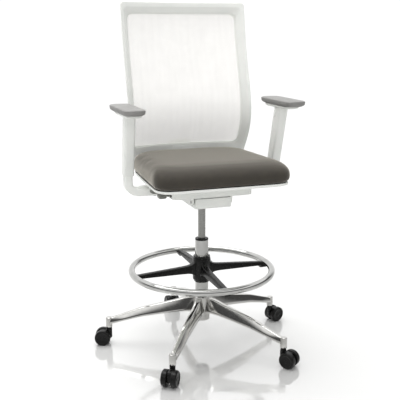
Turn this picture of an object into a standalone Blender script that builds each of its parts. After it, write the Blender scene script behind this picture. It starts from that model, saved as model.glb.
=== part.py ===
"""Drafting chair: five-star base on twin-wheel casters, tall gas column with a foot ring,
synchro mechanism, padded seat, mesh back and height-adjustable arms.

Metres, +Z up, the sitter faces -Y. The floor is Z = 0 and the origin is on the floor at the
middle of the caster footprint. Shapes are written in the chair frame, whose Z axis is the
column's own axis; each rigid body hangs from an empty that stands on its joint's axis.
"""

import math

import bmesh
import bpy
from mathutils import Matrix, Vector

# ---- fits -----------------------------------------------------------------------------
FIT = 0.0003              # gap between pieces that touch
RUN = 0.0006              # gap between pieces that turn or slide on each other

# ---- casters --------------------------------------------------------------------------
WHEEL_RADIUS = 0.030
WHEEL_WIDTH = 0.0205
WHEEL_SIDES = 16
WEB_THICKNESS = 0.0136    # the caster body between the two wheels
CASTER_TRAIL = 0.025
AXLE_RADIUS = 0.004
STEM_RADIUS = 0.0055
NECK_RADIUS = 0.0105
NECK_TOP = 2 * WHEEL_RADIUS + 0.0085

# ---- star base ------------------------------------------------------------------------
STAR_ARMS = 5
CASTER_CIRCLE = 0.3553    # radius of the circle through the caster stems
BOSS_RADIUS = 0.0125
BOSS_BOTTOM = NECK_TOP + 0.0015
BOSS_HEIGHT = 0.036
STEM_TOP = BOSS_BOTTOM + 0.028
STAR_RISE = 0.086         # from an arm's tip up to the hub
STAR_TIP_TOP = BOSS_BOTTOM + BOSS_HEIGHT
STAR_HUB_TOP = STAR_TIP_TOP + STAR_RISE
HUB_HEIGHT = 0.091
HUB_SHOULDER = 0.058      # from the hub's top down to where it narrows to the collar
COLLAR_BOTTOM = STAR_HUB_TOP - HUB_HEIGHT
# An arm from the hub out: share of the caster circle, top and bottom as a share of the
# climb from the tip's top to the hub's top, half-width of the ridge, half-width below.
ARM_STATIONS = (
    (0.080, 0.990, 0.340, 0.0100, 0.0185),
    (0.165, 0.970, 0.370, 0.0090, 0.0240),
    (0.260, 0.850, 0.350, 0.0085, 0.0225),
    (0.450, 0.670, 0.240, 0.0080, 0.0210),
    (0.645, 0.490, 0.120, 0.0075, 0.0195),
    (0.836, 0.210, -0.080, 0.0072, 0.0175),
    (0.980, 0.000, -0.260, 0.0070, 0.0130),
)
ARM_LIP = 0.006           # upright edge along the foot of an arm's flanks
CHANNEL_STATIONS = (      # the hollow under an arm, in the same terms
    (0.205, 0.810, 0.355, 0.0060, 0.0180),
    (0.520, 0.520, 0.195, 0.0055, 0.0155),
    (0.815, 0.150, -0.060, 0.0050, 0.0125),
)

# ---- column ---------------------------------------------------------------------------
TUBE_RADIUS = 0.025
TUBE_WALL = 0.0015
TUBE_LENGTH = 0.310
TUBE_BOTTOM = COLLAR_BOTTOM + 0.004
TUBE_TOP = TUBE_BOTTOM + TUBE_LENGTH
HUB_RADIUS = TUBE_RADIUS + 0.009
COLLAR_RADIUS = TUBE_RADIUS + 0.0055
TUBE_TAPER = 0.0012       # loss of radius where the tube wedges into the hub
GAS_RADIUS = 0.014
GAS_WALL = 0.0015
GAS_LENGTH = 0.358
ROD_RADIUS = 0.005
ROD_TOP = TUBE_TOP - 0.018
SHOULDER_RADIUS = 0.010
BEARING_HEIGHT = 0.006
BUSH_LENGTH = 0.080       # sleeve that guides the gas cylinder inside the tube
BUSH_COLLAR = 0.006

# ---- foot ring ------------------------------------------------------------------------
RING_RADIUS = 0.2637      # to the centre of the bent tube
RING_TUBE = 0.0125
RING_WALL = 0.0022
RING_Z = TUBE_TOP - 0.117
RING_BUSH_WALL = 0.0035
RING_HUB_WALL = 0.0052
RING_HUB_BOTTOM = RING_Z - 0.040
RING_HUB_TOP = RING_Z + 0.048
SPOKE_ROOT_WIDTH = 0.030
SPOKE_TIP_WIDTH = 0.027
SPOKE_ROOT_TOP = RING_Z + 0.027
SPOKE_TIP_TOP = RING_Z + 0.005
SPOKE_BOTTOM = RING_Z - 0.010
SADDLE_BOTTOM = RING_Z - 0.023
KNOB_RADIUS = 0.019
KNOB_DEPTH = 0.016
KNOB_SCREW = 0.004
KNOB_ANGLE = math.radians(45.0)

# ---- mechanism ------------------------------------------------------------------------
MECH_BOTTOM = TUBE_TOP + 0.147
MECH_HEIGHT = 0.038
MECH_HALF_WIDTH = 0.065
MECH_FRONT = -0.130
MECH_WALL = 0.0035
MECH_FLOOR = 0.0045
PIVOT_LIFT = 0.023        # pivots above the mechanism's underside
SEAT_PIVOT_Y = -0.100
BACK_PIVOT_Y = 0.115
EAR_RADIUS = 0.015
SEAT_SHAFT = 0.005
BACK_SHAFT = 0.006
SOCKET_RADIUS = GAS_RADIUS + 0.005
SOCKET_FLANGE = GAS_RADIUS + 0.012
SPRING_COIL = 0.0105
SPRING_WIRE = 0.002
SPRING_TURNS = 5

# ---- seat -----------------------------------------------------------------------------
CARRIER_GAP = 0.0035
CARRIER_HEIGHT = 0.0315
CARRIER_HALF_WIDTH = 0.150
CARRIER_REAR = 0.165
CARRIER_WALL = 0.004
SHELL_DEPTH = 0.0292
SHELL_RIM = 0.012
SHELL_WALL = 0.004
SHELL_OVERHANG = 0.002
SEAT_HALF_WIDTH = 0.250
SEAT_FRONT = -0.270
SEAT_REAR = 0.200
SEAT_REAR_HALF_WIDTH = SEAT_HALF_WIDTH - 0.024
SEAT_FRONT_CORNER = 0.056
SEAT_REAR_CORNER = SEAT_REAR_HALF_WIDTH - 0.148
CUSHION_THICKNESS = 0.070
# The cushion's side from its foot up: inset from the seat's outline, share of the thickness.
CUSHION_LEVELS = (
    (0.004, 0.00),
    (0.000, 0.14),
    (0.000, 0.51),
    (0.004, 0.76),
    (0.012, 0.91),
    (0.026, 1.00),
)
FRONT_ROLL_REACH = 0.11   # the front rolls down over this depth
FRONT_ROLL_DROP = 0.17    # by this share of the thickness

# ---- back -----------------------------------------------------------------------------
BACK_RISE = 0.138         # foot of the back frame above the mechanism's underside
BACK_HEIGHT = 0.581
BACK_HALF_WIDTH = 0.2430
BACK_STILE = 0.028        # width of the side members
BACK_TOP_RAIL = 0.040
BACK_LOW_RAIL = 0.045
BACK_HOLLOW = 0.045       # how far the middle lies behind the sides
BACK_DEPTH = 0.012        # thickness of the frame's front edge
BACK_OUTER_CORNER = 0.012
BACK_INNER_CORNER = 0.020
# Side view of the back: share of its height, distance behind the column's axis.
BACK_PROFILE = (
    (0.000, 0.190),
    (0.062, 0.165),
    (0.130, 0.139),
    (0.240, 0.114),
    (0.340, 0.111),
    (0.450, 0.124),
    (0.568, 0.144),
    (0.775, 0.176),
    (1.000, 0.199),
)
MESH_RIM_START = 0.90     # outer edge of the mesh carrier, as a share of the frame's width
MESH_RIM_END = 1.08
MESH_DEPTH = 0.0255       # mesh behind the frame's front edge
MESH_RIM_DEPTH = 0.006
MESH_THICKNESS = 0.0016
BACK_PAD_HALF_WIDTH = 0.045
SUPPORT_TOP_RISE = 0.196  # top of the back bar above the mechanism's underside
SUPPORT_BEND = 0.050
SUPPORT_LOW = (0.062, 0.034)     # half-width and thickness where the bar leaves the tongue
SUPPORT_HIGH = (0.042, 0.018)    # and at its top

# ---- arms -----------------------------------------------------------------------------
ARM_SPREAD = SEAT_HALF_WIDTH + 0.0305      # post centre from the middle, at the elbow
ARM_OUTWARD = math.radians(1.0)
ARM_FORWARD = math.radians(13.5)
POST_DEPTH = 0.040        # front to back
POST_WIDTH = 0.028
POST_TOP_RISE = 0.296     # top of the inner post above the mechanism's underside
ELBOW_RISE = 0.078
ELBOW_BEND = 0.0355
FOOT_DEPTH = 0.060
FOOT_HEIGHT = 0.030
SLEEVE_WALL = 0.0035
SLEEVE_BOTTOM_RISE = 0.128
SLEEVE_TOP_RISE = 0.343
FLANGE_HEIGHT = 0.0087
LEFT_ARM_DROP = 0.011     # the left arm rests one notch lower
PAD_HALF_WIDTH = 0.0375
PAD_LENGTH = 0.250
PAD_THICKNESS = 0.023
PAD_MIDDLE_Y = -0.060
BUTTON_WIDTH = 0.011
BUTTON_HEIGHT = 0.022
BUTTON_TRAVEL = 0.0015
GROOVE_DEPTH = 0.003

# ---- levers ---------------------------------------------------------------------------
LEVER_RADIUS = 0.0035
LEVER_BARREL = LEVER_RADIUS + 0.001
LEVER_PIVOT_RISE = 0.028  # the lift lever's hinge above the mechanism's underside
LUG_FRONT_Y = -0.060      # the two lugs that carry its barrel
LUG_REAR_Y = 0.013
LEVER_PIVOT_X = -0.045
LIFT_PADDLE = (-0.183, -0.098, 0.054)    # x, y, height above the mechanism's underside
LOCK_PADDLE = (-0.196, -0.060, 0.0625)
LOCK_ROD_BACK = 0.010     # the lock lever's rod stands this far behind its paddle's middle

# ---- derived heights and reaches ------------------------------------------------------
MECH_TOP = MECH_BOTTOM + MECH_HEIGHT
PIVOT_Z = MECH_BOTTOM + PIVOT_LIFT
CARRIER_BOTTOM = MECH_TOP + CARRIER_GAP
CARRIER_TOP = CARRIER_BOTTOM + CARRIER_HEIGHT
SHELL_BOTTOM = CARRIER_TOP + FIT
SHELL_TOP = SHELL_BOTTOM + SHELL_DEPTH
CUSHION_BOTTOM = SHELL_TOP + FIT
BACK_BOTTOM = MECH_BOTTOM + BACK_RISE
BACK_TOP = BACK_BOTTOM + BACK_HEIGHT
ELBOW_Z = MECH_BOTTOM + ELBOW_RISE
SLEEVE_TOP = MECH_BOTTOM + SLEEVE_TOP_RISE
PAD_BOTTOM = SLEEVE_TOP + FLANGE_HEIGHT + FIT
GAS_TOP = MECH_TOP - 0.002
GAS_BOTTOM = GAS_TOP - GAS_LENGTH
SUPPORT_FACE_Y = 0.2475   # front face of the back bar where the frame bolts to it
PIN_TOP = MECH_TOP + 0.007
WHEEL_INNER = WEB_THICKNESS / 2 + RUN
WHEEL_OUTER = WHEEL_INNER + WHEEL_WIDTH
BUSH_RADIUS = TUBE_RADIUS + FIT + RING_BUSH_WALL
RING_HUB_RADIUS = BUSH_RADIUS + RING_HUB_WALL
HALF_ARM_TURN = math.pi / STAR_ARMS
CASTER_REACH = CASTER_CIRCLE + CASTER_TRAIL
BACK_REACH = CASTER_REACH + WHEEL_RADIUS
FRONT_REACH = (CASTER_REACH + WHEEL_RADIUS) * math.cos(HALF_ARM_TURN) \
    + WHEEL_OUTER * math.sin(HALF_ARM_TURN)
AXIS_Y = (FRONT_REACH - BACK_REACH) / 2

BODIES = {}


# ---- scene and finishes ---------------------------------------------------------------
def clear_scene():
    for obj in list(bpy.data.objects):
        bpy.data.objects.remove(obj, do_unlink=True)


def linear(value):
    """One sRGB channel, 0 to 1, as linear light."""
    if value <= 0.04045:
        return value / 12.92
    return ((value + 0.055) / 1.055) ** 2.4


def finish(name, hex_colour, roughness, metallic=0.0):
    material = bpy.data.materials.new(name)
    material.use_nodes = True
    shader = material.node_tree.nodes["Principled BSDF"]
    channels = [int(hex_colour[i:i + 2], 16) / 255 for i in (0, 2, 4)]
    shader.inputs["Base Color"].default_value = [linear(c) for c in channels] + [1.0]
    shader.inputs["Roughness"].default_value = roughness
    shader.inputs["Metallic"].default_value = metallic
    return material


def body(name, x=0.0, y=0.0, z=0.0):
    """An empty on a body's joint axis, given in the chair frame."""
    empty = bpy.data.objects.new("axis_" + name, None)
    bpy.context.scene.collection.objects.link(empty)
    empty.parent = BODIES.get("chair")
    empty.location = (x, y, z)
    BODIES[name] = empty
    return empty


# ---- shape helpers --------------------------------------------------------------------
def local_solid(name, mesh, material, parent):
    """Link a mesh that is written in its parent empty's own frame."""
    obj = bpy.data.objects.new(name, mesh)
    bpy.context.scene.collection.objects.link(obj)
    mesh.materials.append(material)
    mesh.shade_smooth()
    mesh.set_sharp_from_angle(angle=math.radians(35.0))
    obj.parent = parent
    return obj


def solid(name, mesh, material, parent):
    """Link a mesh that is written in the chair frame under its body's empty."""
    obj = local_solid(name, mesh, material, BODIES[parent])
    obj.location = -BODIES[parent].location
    return obj


def tool(mesh, owner):
    """A hidden helper shape that a Boolean of its owner uses."""
    obj = bpy.data.objects.new("tool_" + owner.name, mesh)
    bpy.context.scene.collection.objects.link(obj)
    obj.parent = owner.parent
    obj.location = owner.location
    obj.rotation_euler = owner.rotation_euler
    obj.hide_render = True
    obj.display_type = "WIRE"
    return obj


def combine(owner, operation, meshes):
    for mesh in meshes:
        modifier = owner.modifiers.new(operation.lower(), "BOOLEAN")
        modifier.operation = operation
        modifier.solver = "EXACT"
        modifier.object = tool(mesh, owner)


def fuse(owner, *meshes):
    combine(owner, "UNION", meshes)


def cut(owner, *meshes):
    combine(owner, "DIFFERENCE", meshes)


def finish_mesh(bm, name):
    bmesh.ops.recalc_face_normals(bm, faces=bm.faces)
    mesh = bpy.data.meshes.new(name)
    bm.to_mesh(mesh)
    bm.free()
    return mesh


def loft(rings, ring_of_rings=False):
    """Skin equal rings of points; the ends are capped unless the rings close on themselves."""
    bm = bmesh.new()
    rows = [[bm.verts.new(point) for point in ring] for ring in rings]
    pairs = list(zip(rows, rows[1:]))
    if ring_of_rings:
        pairs.append((rows[-1], rows[0]))
    else:
        bm.faces.new(rows[0])
        bm.faces.new(rows[-1])
    for low, high in pairs:
        for i in range(len(low)):
            j = (i + 1) % len(low)
            bm.faces.new((low[i], low[j], high[j], high[i]))
    return finish_mesh(bm, "loft")


def turned(profile, sides, closed=True, turn=math.tau, start=0.0):
    """Turn (radius, height) points about Z. A closed profile never touches the axis; an open
    one begins and ends on it. Less than a full turn leaves flat ends."""
    full = math.isclose(turn, math.tau)
    steps = sides if full else sides + 1
    angles = [start + turn * i / sides for i in range(steps)]
    bm = bmesh.new()
    rows = []
    for radius, height in profile:
        if radius == 0.0:
            rows.append([bm.verts.new((0.0, 0.0, height))])
        else:
            row = [(radius * math.cos(a), radius * math.sin(a), height) for a in angles]
            rows.append([bm.verts.new(point) for point in row])
    pairs = list(zip(rows, rows[1:]))
    if closed:
        pairs.append((rows[-1], rows[0]))
    for low, high in pairs:
        for i in range(sides):
            j = (i + 1) % steps
            corners = [low[i % len(low)], low[j % len(low)], high[j % len(high)], high[i % len(high)]]
            bm.faces.new(list(dict.fromkeys(corners)))
    if not full:
        bm.faces.new([row[0] for row in rows])
        bm.faces.new([row[-1] for row in rows])
    return finish_mesh(bm, "turned")


def moved(mesh, matrix):
    mesh.transform(matrix)
    return mesh


def along(axis, origin=(0.0, 0.0, 0.0)):
    """Matrix that lays a shape made about Z along another direction, from a point."""
    turn = Vector((0.0, 0.0, 1.0)).rotation_difference(Vector(axis)).to_matrix().to_4x4()
    return Matrix.Translation(origin) @ turn


def rod(start, end, radius, sides=12):
    """A plain round bar between two points."""
    path = Vector(end) - Vector(start)
    profile = ((0.0, 0.0), (radius, 0.0), (radius, path.length), (0.0, path.length))
    return moved(turned(profile, sides, closed=False), along(path.normalized(), start))


def box(low, high):
    (x0, y0, z0), (x1, y1, z1) = low, high
    outline = ((x0, y0), (x1, y0), (x1, y1), (x0, y1))
    return loft([[(x, y, z) for x, y in outline] for z in (z0, z1)])


def prism_x(outline, x0, x1):
    """Extrude a (y, z) outline along X."""
    return loft([[(x, y, z) for y, z in outline] for x in (x0, x1)])


def arc(centre, radius, start, end, steps):
    """Points on an arc, angles in degrees."""
    turns = [math.radians(start + (end - start) * i / steps) for i in range(steps + 1)]
    return [(centre[0] + radius * math.cos(t), centre[1] + radius * math.sin(t)) for t in turns]


def rounded_rectangle(half_u, half_v, radius, steps=3):
    points = []
    for turn, (su, sv) in enumerate(((1, 1), (-1, 1), (-1, -1), (1, -1))):
        centre = (su * (half_u - radius), sv * (half_v - radius))
        points += arc(centre, radius, 90 * turn, 90 * turn + 90, steps)
    return points


def tube_path(points, radius, sides=8):
    """A round bar along a route; each ring stands square to the route's mean direction."""
    route = [Vector(point) for point in points]
    rings = []
    side = None
    for i, point in enumerate(route):
        ahead = route[min(i + 1, len(route) - 1)] - route[max(i - 1, 0)]
        ahead.normalize()
        if side is None:
            side = ahead.orthogonal().normalized()
        side = (side - ahead * side.dot(ahead)).normalized()
        up = ahead.cross(side)
        turns = [math.tau * k / sides for k in range(sides)]
        rings.append([point + (side * math.cos(t) + up * math.sin(t)) * radius for t in turns])
    return loft(rings)


def smooth_value(points, at):
    """Cubic Hermite curve through (place, value) points, with Catmull-Rom slopes."""
    last = len(points) - 1
    at = min(max(at, points[0][0]), points[-1][0])
    i = max(k for k in range(last) if points[k][0] <= at)

    def slope(k):
        low, high = points[max(k - 1, 0)], points[min(k + 1, last)]
        return (high[1] - low[1]) / (high[0] - low[0])

    span = points[i + 1][0] - points[i][0]
    t = (at - points[i][0]) / span
    near, far = points[i][1], points[i + 1][1]
    return (near * (2 * t ** 3 - 3 * t ** 2 + 1) + far * (3 * t ** 2 - 2 * t ** 3)
            + slope(i) * span * (t ** 3 - 2 * t ** 2 + t) + slope(i + 1) * span * (t ** 3 - t ** 2))


# ---- base -----------------------------------------------------------------------------
def arm_rings(angle, stations, section_at):
    """Rings along one arm, each from a function of its heights and half-widths."""
    climb = STAR_HUB_TOP - STAR_TIP_TOP
    out = Vector((math.cos(angle), math.sin(angle), 0.0))
    side = Vector((-math.sin(angle), math.cos(angle), 0.0))
    rings = []
    for share, top, bottom, ridge, foot in stations:
        middle = out * (share * CASTER_CIRCLE)
        section = section_at(STAR_TIP_TOP + climb * top, STAR_TIP_TOP + climb * bottom, ridge, foot)
        rings.append([middle + side * s + Vector((0.0, 0.0, z)) for s, z in section])
    return rings


def star_arm(angle):
    """One tapering arm: a narrow ridge above flanks that spread to a low upright lip."""
    def section(top, low, ridge, foot):
        lip = low + ARM_LIP
        return (-foot, low), (foot, low), (foot, lip), (ridge, top), (-ridge, top), (-foot, lip)

    return loft(arm_rings(angle, ARM_STATIONS, section))


def arm_channel(angle):
    """Hollow under an arm, open below, between the hub and the tip's boss."""
    def section(top, low, ridge, foot):
        lip, below = low + ARM_LIP - 0.002, low - 0.01
        return (-foot, below), (foot, below), (foot, lip), (ridge, top), (-ridge, top), (-foot, lip)

    return loft(arm_rings(angle, CHANNEL_STATIONS, section))


def arm_angles():
    """Arms stand evenly, with one straight back."""
    return [math.pi / 2 + math.tau * k / STAR_ARMS for k in range(STAR_ARMS)]


def tube_radius_at(z):
    """The tube's outside, tapered where it sits in the hub."""
    share = (z - TUBE_BOTTOM) / (STAR_HUB_TOP - TUBE_BOTTOM)
    return TUBE_RADIUS - TUBE_TAPER * (1 - min(max(share, 0.0), 1.0))


def base_star(material):
    shoulder = STAR_HUB_TOP - HUB_SHOULDER
    hub_profile = ((0.0, COLLAR_BOTTOM), (COLLAR_RADIUS, COLLAR_BOTTOM), (COLLAR_RADIUS, shoulder - 0.006),
                   (HUB_RADIUS, shoulder), (HUB_RADIUS, STAR_HUB_TOP),
                   (HUB_RADIUS - 0.003, STAR_HUB_TOP + 0.003), (0.0, STAR_HUB_TOP + 0.003))
    star = solid("base_star", turned(hub_profile, 22, closed=False, start=0.06), material, "base")
    for angle in arm_angles():
        fuse(star, star_arm(angle))
        x, y = CASTER_CIRCLE * math.cos(angle), CASTER_CIRCLE * math.sin(angle)
        fuse(star, rod((x, y, BOSS_BOTTOM), (x, y, STAR_TIP_TOP + 0.002), BOSS_RADIUS, 14))
    low, high = COLLAR_BOTTOM - 0.01, STAR_HUB_TOP + 0.01
    foot = tube_radius_at(TUBE_BOTTOM) + FIT
    bore = ((0.0, low), (foot, low), (foot, TUBE_BOTTOM), (TUBE_RADIUS + FIT, STAR_HUB_TOP),
            (TUBE_RADIUS + FIT, high), (0.0, high))
    cut(star, turned(bore, 20, closed=False))
    cut(star, *[arm_channel(angle) for angle in arm_angles()])
    for angle in arm_angles():
        x, y = CASTER_CIRCLE * math.cos(angle), CASTER_CIRCLE * math.sin(angle)
        cut(star, rod((x, y, BOSS_BOTTOM - 0.01), (x, y, STEM_TOP + RUN), STEM_RADIUS + FIT, 10))


def column(steel, plastic):
    inner = TUBE_RADIUS - TUBE_WALL
    hole = ROD_RADIUS + 0.001
    floor_top = TUBE_BOTTOM + 0.003
    tube = ((hole, TUBE_BOTTOM), (tube_radius_at(TUBE_BOTTOM), TUBE_BOTTOM), (TUBE_RADIUS, STAR_HUB_TOP),
            (TUBE_RADIUS, TUBE_TOP), (inner, TUBE_TOP), (inner, STAR_HUB_TOP),
            (tube_radius_at(floor_top) - TUBE_WALL, floor_top), (hole, floor_top))
    solid("column_tube", turned(tube, 20), steel, "base")
    bore = GAS_RADIUS + FIT
    collar = TUBE_TOP + FIT
    bush = ((bore, TUBE_TOP - BUSH_LENGTH), (inner - FIT, TUBE_TOP - BUSH_LENGTH), (inner - FIT, collar),
            (TUBE_RADIUS, collar), (TUBE_RADIUS, collar + BUSH_COLLAR - 0.0015),
            (TUBE_RADIUS - 0.0015, collar + BUSH_COLLAR), (bore, collar + BUSH_COLLAR))
    solid("column_bush", turned(bush, 20), plastic, "base")
    low = floor_top + FIT
    bearing = ((ROD_RADIUS + 0.0005, low), (0.0115, low), (0.0115, low + BEARING_HEIGHT),
               (ROD_RADIUS + 0.0005, low + BEARING_HEIGHT))
    solid("thrust_bearing", turned(bearing, 12), steel, "base")


def piston(steel):
    """Rod that stands on the thrust bearing, held below the tube's floor by a clip."""
    neck = ROD_RADIUS - 0.0005
    groove = neck - 0.001
    groove_low, groove_high = TUBE_BOTTOM - 0.0042, TUBE_BOTTOM - 0.0018
    shoulder = TUBE_BOTTOM + 0.003 + BEARING_HEIGHT + 2 * FIT
    head = GAS_RADIUS - GAS_WALL - FIT
    profile = ((0.0, TUBE_BOTTOM - 0.0065), (neck, TUBE_BOTTOM - 0.0065), (neck, groove_low),
               (groove, groove_low), (groove, groove_high), (neck, groove_high), (neck, shoulder),
               (SHOULDER_RADIUS, shoulder), (SHOULDER_RADIUS, shoulder + 0.004),
               (ROD_RADIUS, shoulder + 0.004), (ROD_RADIUS, ROD_TOP - 0.012),
               (head, ROD_TOP - 0.012), (head, ROD_TOP), (0.0, ROD_TOP))
    solid("piston_rod", turned(profile, 12, closed=False), steel, "seat_swivel")
    clip = ((groove + FIT, groove_low + FIT), (0.0085, groove_low + FIT),
            (0.0085, groove_high - FIT), (groove + FIT, groove_high - FIT))
    ring = turned(clip, 10, turn=math.radians(290.0))
    solid("retaining_clip", ring, steel, "seat_swivel")


def gas_cylinder(steel):
    """Hollow cylinder open to the rod below and to the valve pin above."""
    taper_start = MECH_BOTTOM - 0.006
    chamber_top = MECH_BOTTOM - 0.010
    top_radius = GAS_RADIUS - 0.0006
    bore = GAS_RADIUS - GAS_WALL
    rod_hole, pin_hole = ROD_RADIUS + FIT, 0.003 + FIT
    profile = ((rod_hole, GAS_BOTTOM), (GAS_RADIUS, GAS_BOTTOM), (GAS_RADIUS, taper_start),
               (top_radius, GAS_TOP), (pin_hole, GAS_TOP), (pin_hole, chamber_top),
               (bore, chamber_top), (bore, GAS_BOTTOM + 0.010), (rod_hole, GAS_BOTTOM + 0.010))
    solid("gas_cylinder", turned(profile, 20), steel, "mechanism")
    pin_low = chamber_top - 0.007
    pin = ((0.0, pin_low), (0.006, pin_low), (0.006, pin_low + 0.003), (0.003, pin_low + 0.003),
           (0.003, PIN_TOP), (0.0, PIN_TOP))
    solid("valve_pin", turned(pin, 8, closed=False), steel, "valve")


# ---- foot ring ------------------------------------------------------------------------
def torus(tube, sides=10, steps=40):
    section = [(RING_RADIUS + tube * math.cos(t), RING_Z + tube * math.sin(t))
               for t in (math.tau * k / sides for k in range(sides))]
    return turned(section, steps)


def radial_loft(angle, stations):
    """Rectangular sections (reach, half-width, low, high) along one direction from the axis."""
    out = Vector((math.cos(angle), math.sin(angle), 0.0))
    side = Vector((-math.sin(angle), math.cos(angle), 0.0))
    rings = []
    for reach, half, low, high in stations:
        section = ((-half, low), (half, low), (half, high), (-half, high))
        rings.append([out * reach + side * s + Vector((0.0, 0.0, z)) for s, z in section])
    return loft(rings)


def foot_ring(chrome, plastic):
    bush_low, bush_high = RING_HUB_BOTTOM - 0.006, RING_HUB_TOP + 0.006
    inner = TUBE_RADIUS + FIT
    bush = ((inner, bush_low), (BUSH_RADIUS, bush_low), (BUSH_RADIUS, RING_HUB_TOP + FIT),
            (BUSH_RADIUS + 0.003, RING_HUB_TOP + FIT), (BUSH_RADIUS + 0.003, bush_high), (inner, bush_high))
    solid("footring_bush", turned(bush, 20), plastic, "footring_slide")

    hub_wall = ((0.0, RING_HUB_BOTTOM), (RING_HUB_RADIUS - 0.002, RING_HUB_BOTTOM),
                (RING_HUB_RADIUS, RING_HUB_BOTTOM + 0.002), (RING_HUB_RADIUS, RING_HUB_TOP - 0.006),
                (RING_HUB_RADIUS - 0.002, RING_HUB_TOP), (0.0, RING_HUB_TOP))
    hub = solid("footring_hub", turned(hub_wall, 20, closed=False), plastic, "footring_turn")
    inside = RING_RADIUS - RING_TUBE
    root = TUBE_RADIUS + 0.005
    for quarter in range(4):
        angle = math.pi / 2 * quarter
        spoke = ((root, SPOKE_ROOT_WIDTH / 2, SPOKE_BOTTOM, SPOKE_ROOT_TOP),
                 (inside + 0.004, SPOKE_TIP_WIDTH / 2, SPOKE_BOTTOM, SPOKE_TIP_TOP))
        saddle = [(reach, SPOKE_TIP_WIDTH / 2 - 0.001, SADDLE_BOTTOM, SPOKE_BOTTOM + 0.0015)
                  for reach in (inside - 0.014, RING_RADIUS + 0.009)]
        fuse(hub, radial_loft(angle, spoke), radial_loft(angle, saddle))
    out = Vector((math.cos(KNOB_ANGLE), math.sin(KNOB_ANGLE), 0.0))
    middle = Vector((0.0, 0.0, (RING_HUB_BOTTOM + RING_HUB_TOP) / 2))
    face = RING_HUB_RADIUS + 0.0125
    fuse(hub, rod(middle + out * root, middle + out * face, 0.010, 12))
    hole = (BUSH_RADIUS + FIT) / math.cos(math.pi / 20)
    cut(hub, rod((0.0, 0.0, RING_HUB_BOTTOM - 0.01), (0.0, 0.0, RING_HUB_TOP + 0.01), hole, 20))
    cut(hub, torus(RING_TUBE + FIT))
    cut(hub, rod(middle + out * 0.015, middle + out * (face + 0.01), KNOB_SCREW + FIT, 12))
    ring = solid("footring_ring", torus(RING_TUBE), chrome, "footring_turn")
    cut(ring, torus(RING_TUBE - RING_WALL, 6, 32))
    for quarter in range(4):
        angle = math.pi / 2 * quarter + 0.01
        x, y = RING_RADIUS * math.cos(angle), RING_RADIUS * math.sin(angle)
        cut(ring, rod((x, y, RING_Z - RING_TUBE - 0.005), (x, y, RING_Z), 0.003, 6))

    head = face + RUN
    knob = ((0.0, BUSH_RADIUS + RUN), (KNOB_SCREW, BUSH_RADIUS + RUN), (KNOB_SCREW, head),
            (KNOB_RADIUS - 0.002, head), (KNOB_RADIUS, head + 0.003),
            (KNOB_RADIUS, head + KNOB_DEPTH - 0.003), (KNOB_RADIUS - 0.003, head + KNOB_DEPTH),
            (0.0, head + KNOB_DEPTH))
    mesh = moved(turned(knob, 12, closed=False), along(out, middle))
    solid("footring_knob", mesh, plastic, "footring_knob")


# ---- casters --------------------------------------------------------------------------
def axle_rod(reach, radius):
    """A bar on the wheels' axis, in the caster's own frame."""
    return rod((CASTER_TRAIL, -reach, WHEEL_RADIUS), (CASTER_TRAIL, reach, WHEEL_RADIUS), radius, 8)


def caster(number, angle, plastic, tread, steel):
    """One twin-wheel caster, trailing outwards along its arm."""
    name = "caster_%d" % number
    root = body(name, CASTER_CIRCLE * math.cos(angle), CASTER_CIRCLE * math.sin(angle), 0.0)
    root.rotation_euler[2] = angle

    half = WEB_THICKNESS / 2
    low = 0.012
    web_radius = WHEEL_RADIUS - 0.0025
    dip = math.degrees(math.asin((WHEEL_RADIUS - low) / web_radius))
    shoulder = NECK_TOP - 0.0085
    stem_low = NECK_TOP - 0.0245
    outline = [(-NECK_RADIUS, shoulder - 0.026), (-NECK_RADIUS, shoulder), (NECK_RADIUS, shoulder)]
    outline += arc((CASTER_TRAIL, WHEEL_RADIUS), web_radius, 108, -dip, 8)
    outline += [(CASTER_TRAIL - web_radius * math.cos(math.radians(dip)), low)]
    web = loft([[(x, y, z) for x, z in outline] for y in (-half, half)])
    hood = local_solid(name + "_hood", web, plastic, root)
    fuse(hood, rod((0.0, 0.0, shoulder - 0.0025), (0.0, 0.0, NECK_TOP), NECK_RADIUS, 12))
    cut(hood, rod((0.0, 0.0, stem_low), (0.0, 0.0, NECK_TOP + 0.01), STEM_RADIUS + FIT, 10))
    cut(hood, axle_rod(half + 0.01, AXLE_RADIUS + FIT))
    stem = rod((0.0, 0.0, stem_low + FIT), (0.0, 0.0, STEM_TOP), STEM_RADIUS, 10)
    local_solid(name + "_stem", stem, steel, root)
    local_solid(name + "_axle", axle_rod(WHEEL_OUTER - 0.003, AXLE_RADIUS), steel, root)

    rim = WHEEL_RADIUS / math.cos(math.pi / WHEEL_SIDES)
    bore = AXLE_RADIUS + FIT
    blind = WHEEL_WIDTH - 0.0025
    wheel = ((0.0, WHEEL_WIDTH), (rim - 0.007, WHEEL_WIDTH), (rim, WHEEL_WIDTH - 0.005),
             (rim, 0.0), (bore, 0.0), (bore, blind), (0.0, blind))
    for side, sign in (("left", -1.0), ("right", 1.0)):
        mesh = turned(wheel, WHEEL_SIDES, closed=False, start=math.pi / WHEEL_SIDES)
        moved(mesh, along((0.0, sign, 0.0)))
        obj = local_solid("%s_wheel_%s" % (name, side), mesh, tread, root)
        obj.location = (CASTER_TRAIL, sign * WHEEL_INNER, WHEEL_RADIUS)


# ---- mechanism ------------------------------------------------------------------------
def cross_rod(y, reach, radius):
    """A bar across the chair at the height of both pivots."""
    return rod((-reach, y, PIVOT_Z), (reach, y, PIVOT_Z), radius, 12)


def lever_barrel(front_y, rear_y, radius):
    """A bar on the lift lever's hinge axis."""
    z = MECH_BOTTOM + LEVER_PIVOT_RISE
    return rod((LEVER_PIVOT_X, front_y, z), (LEVER_PIVOT_X, rear_y, z), radius, 12)


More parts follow.
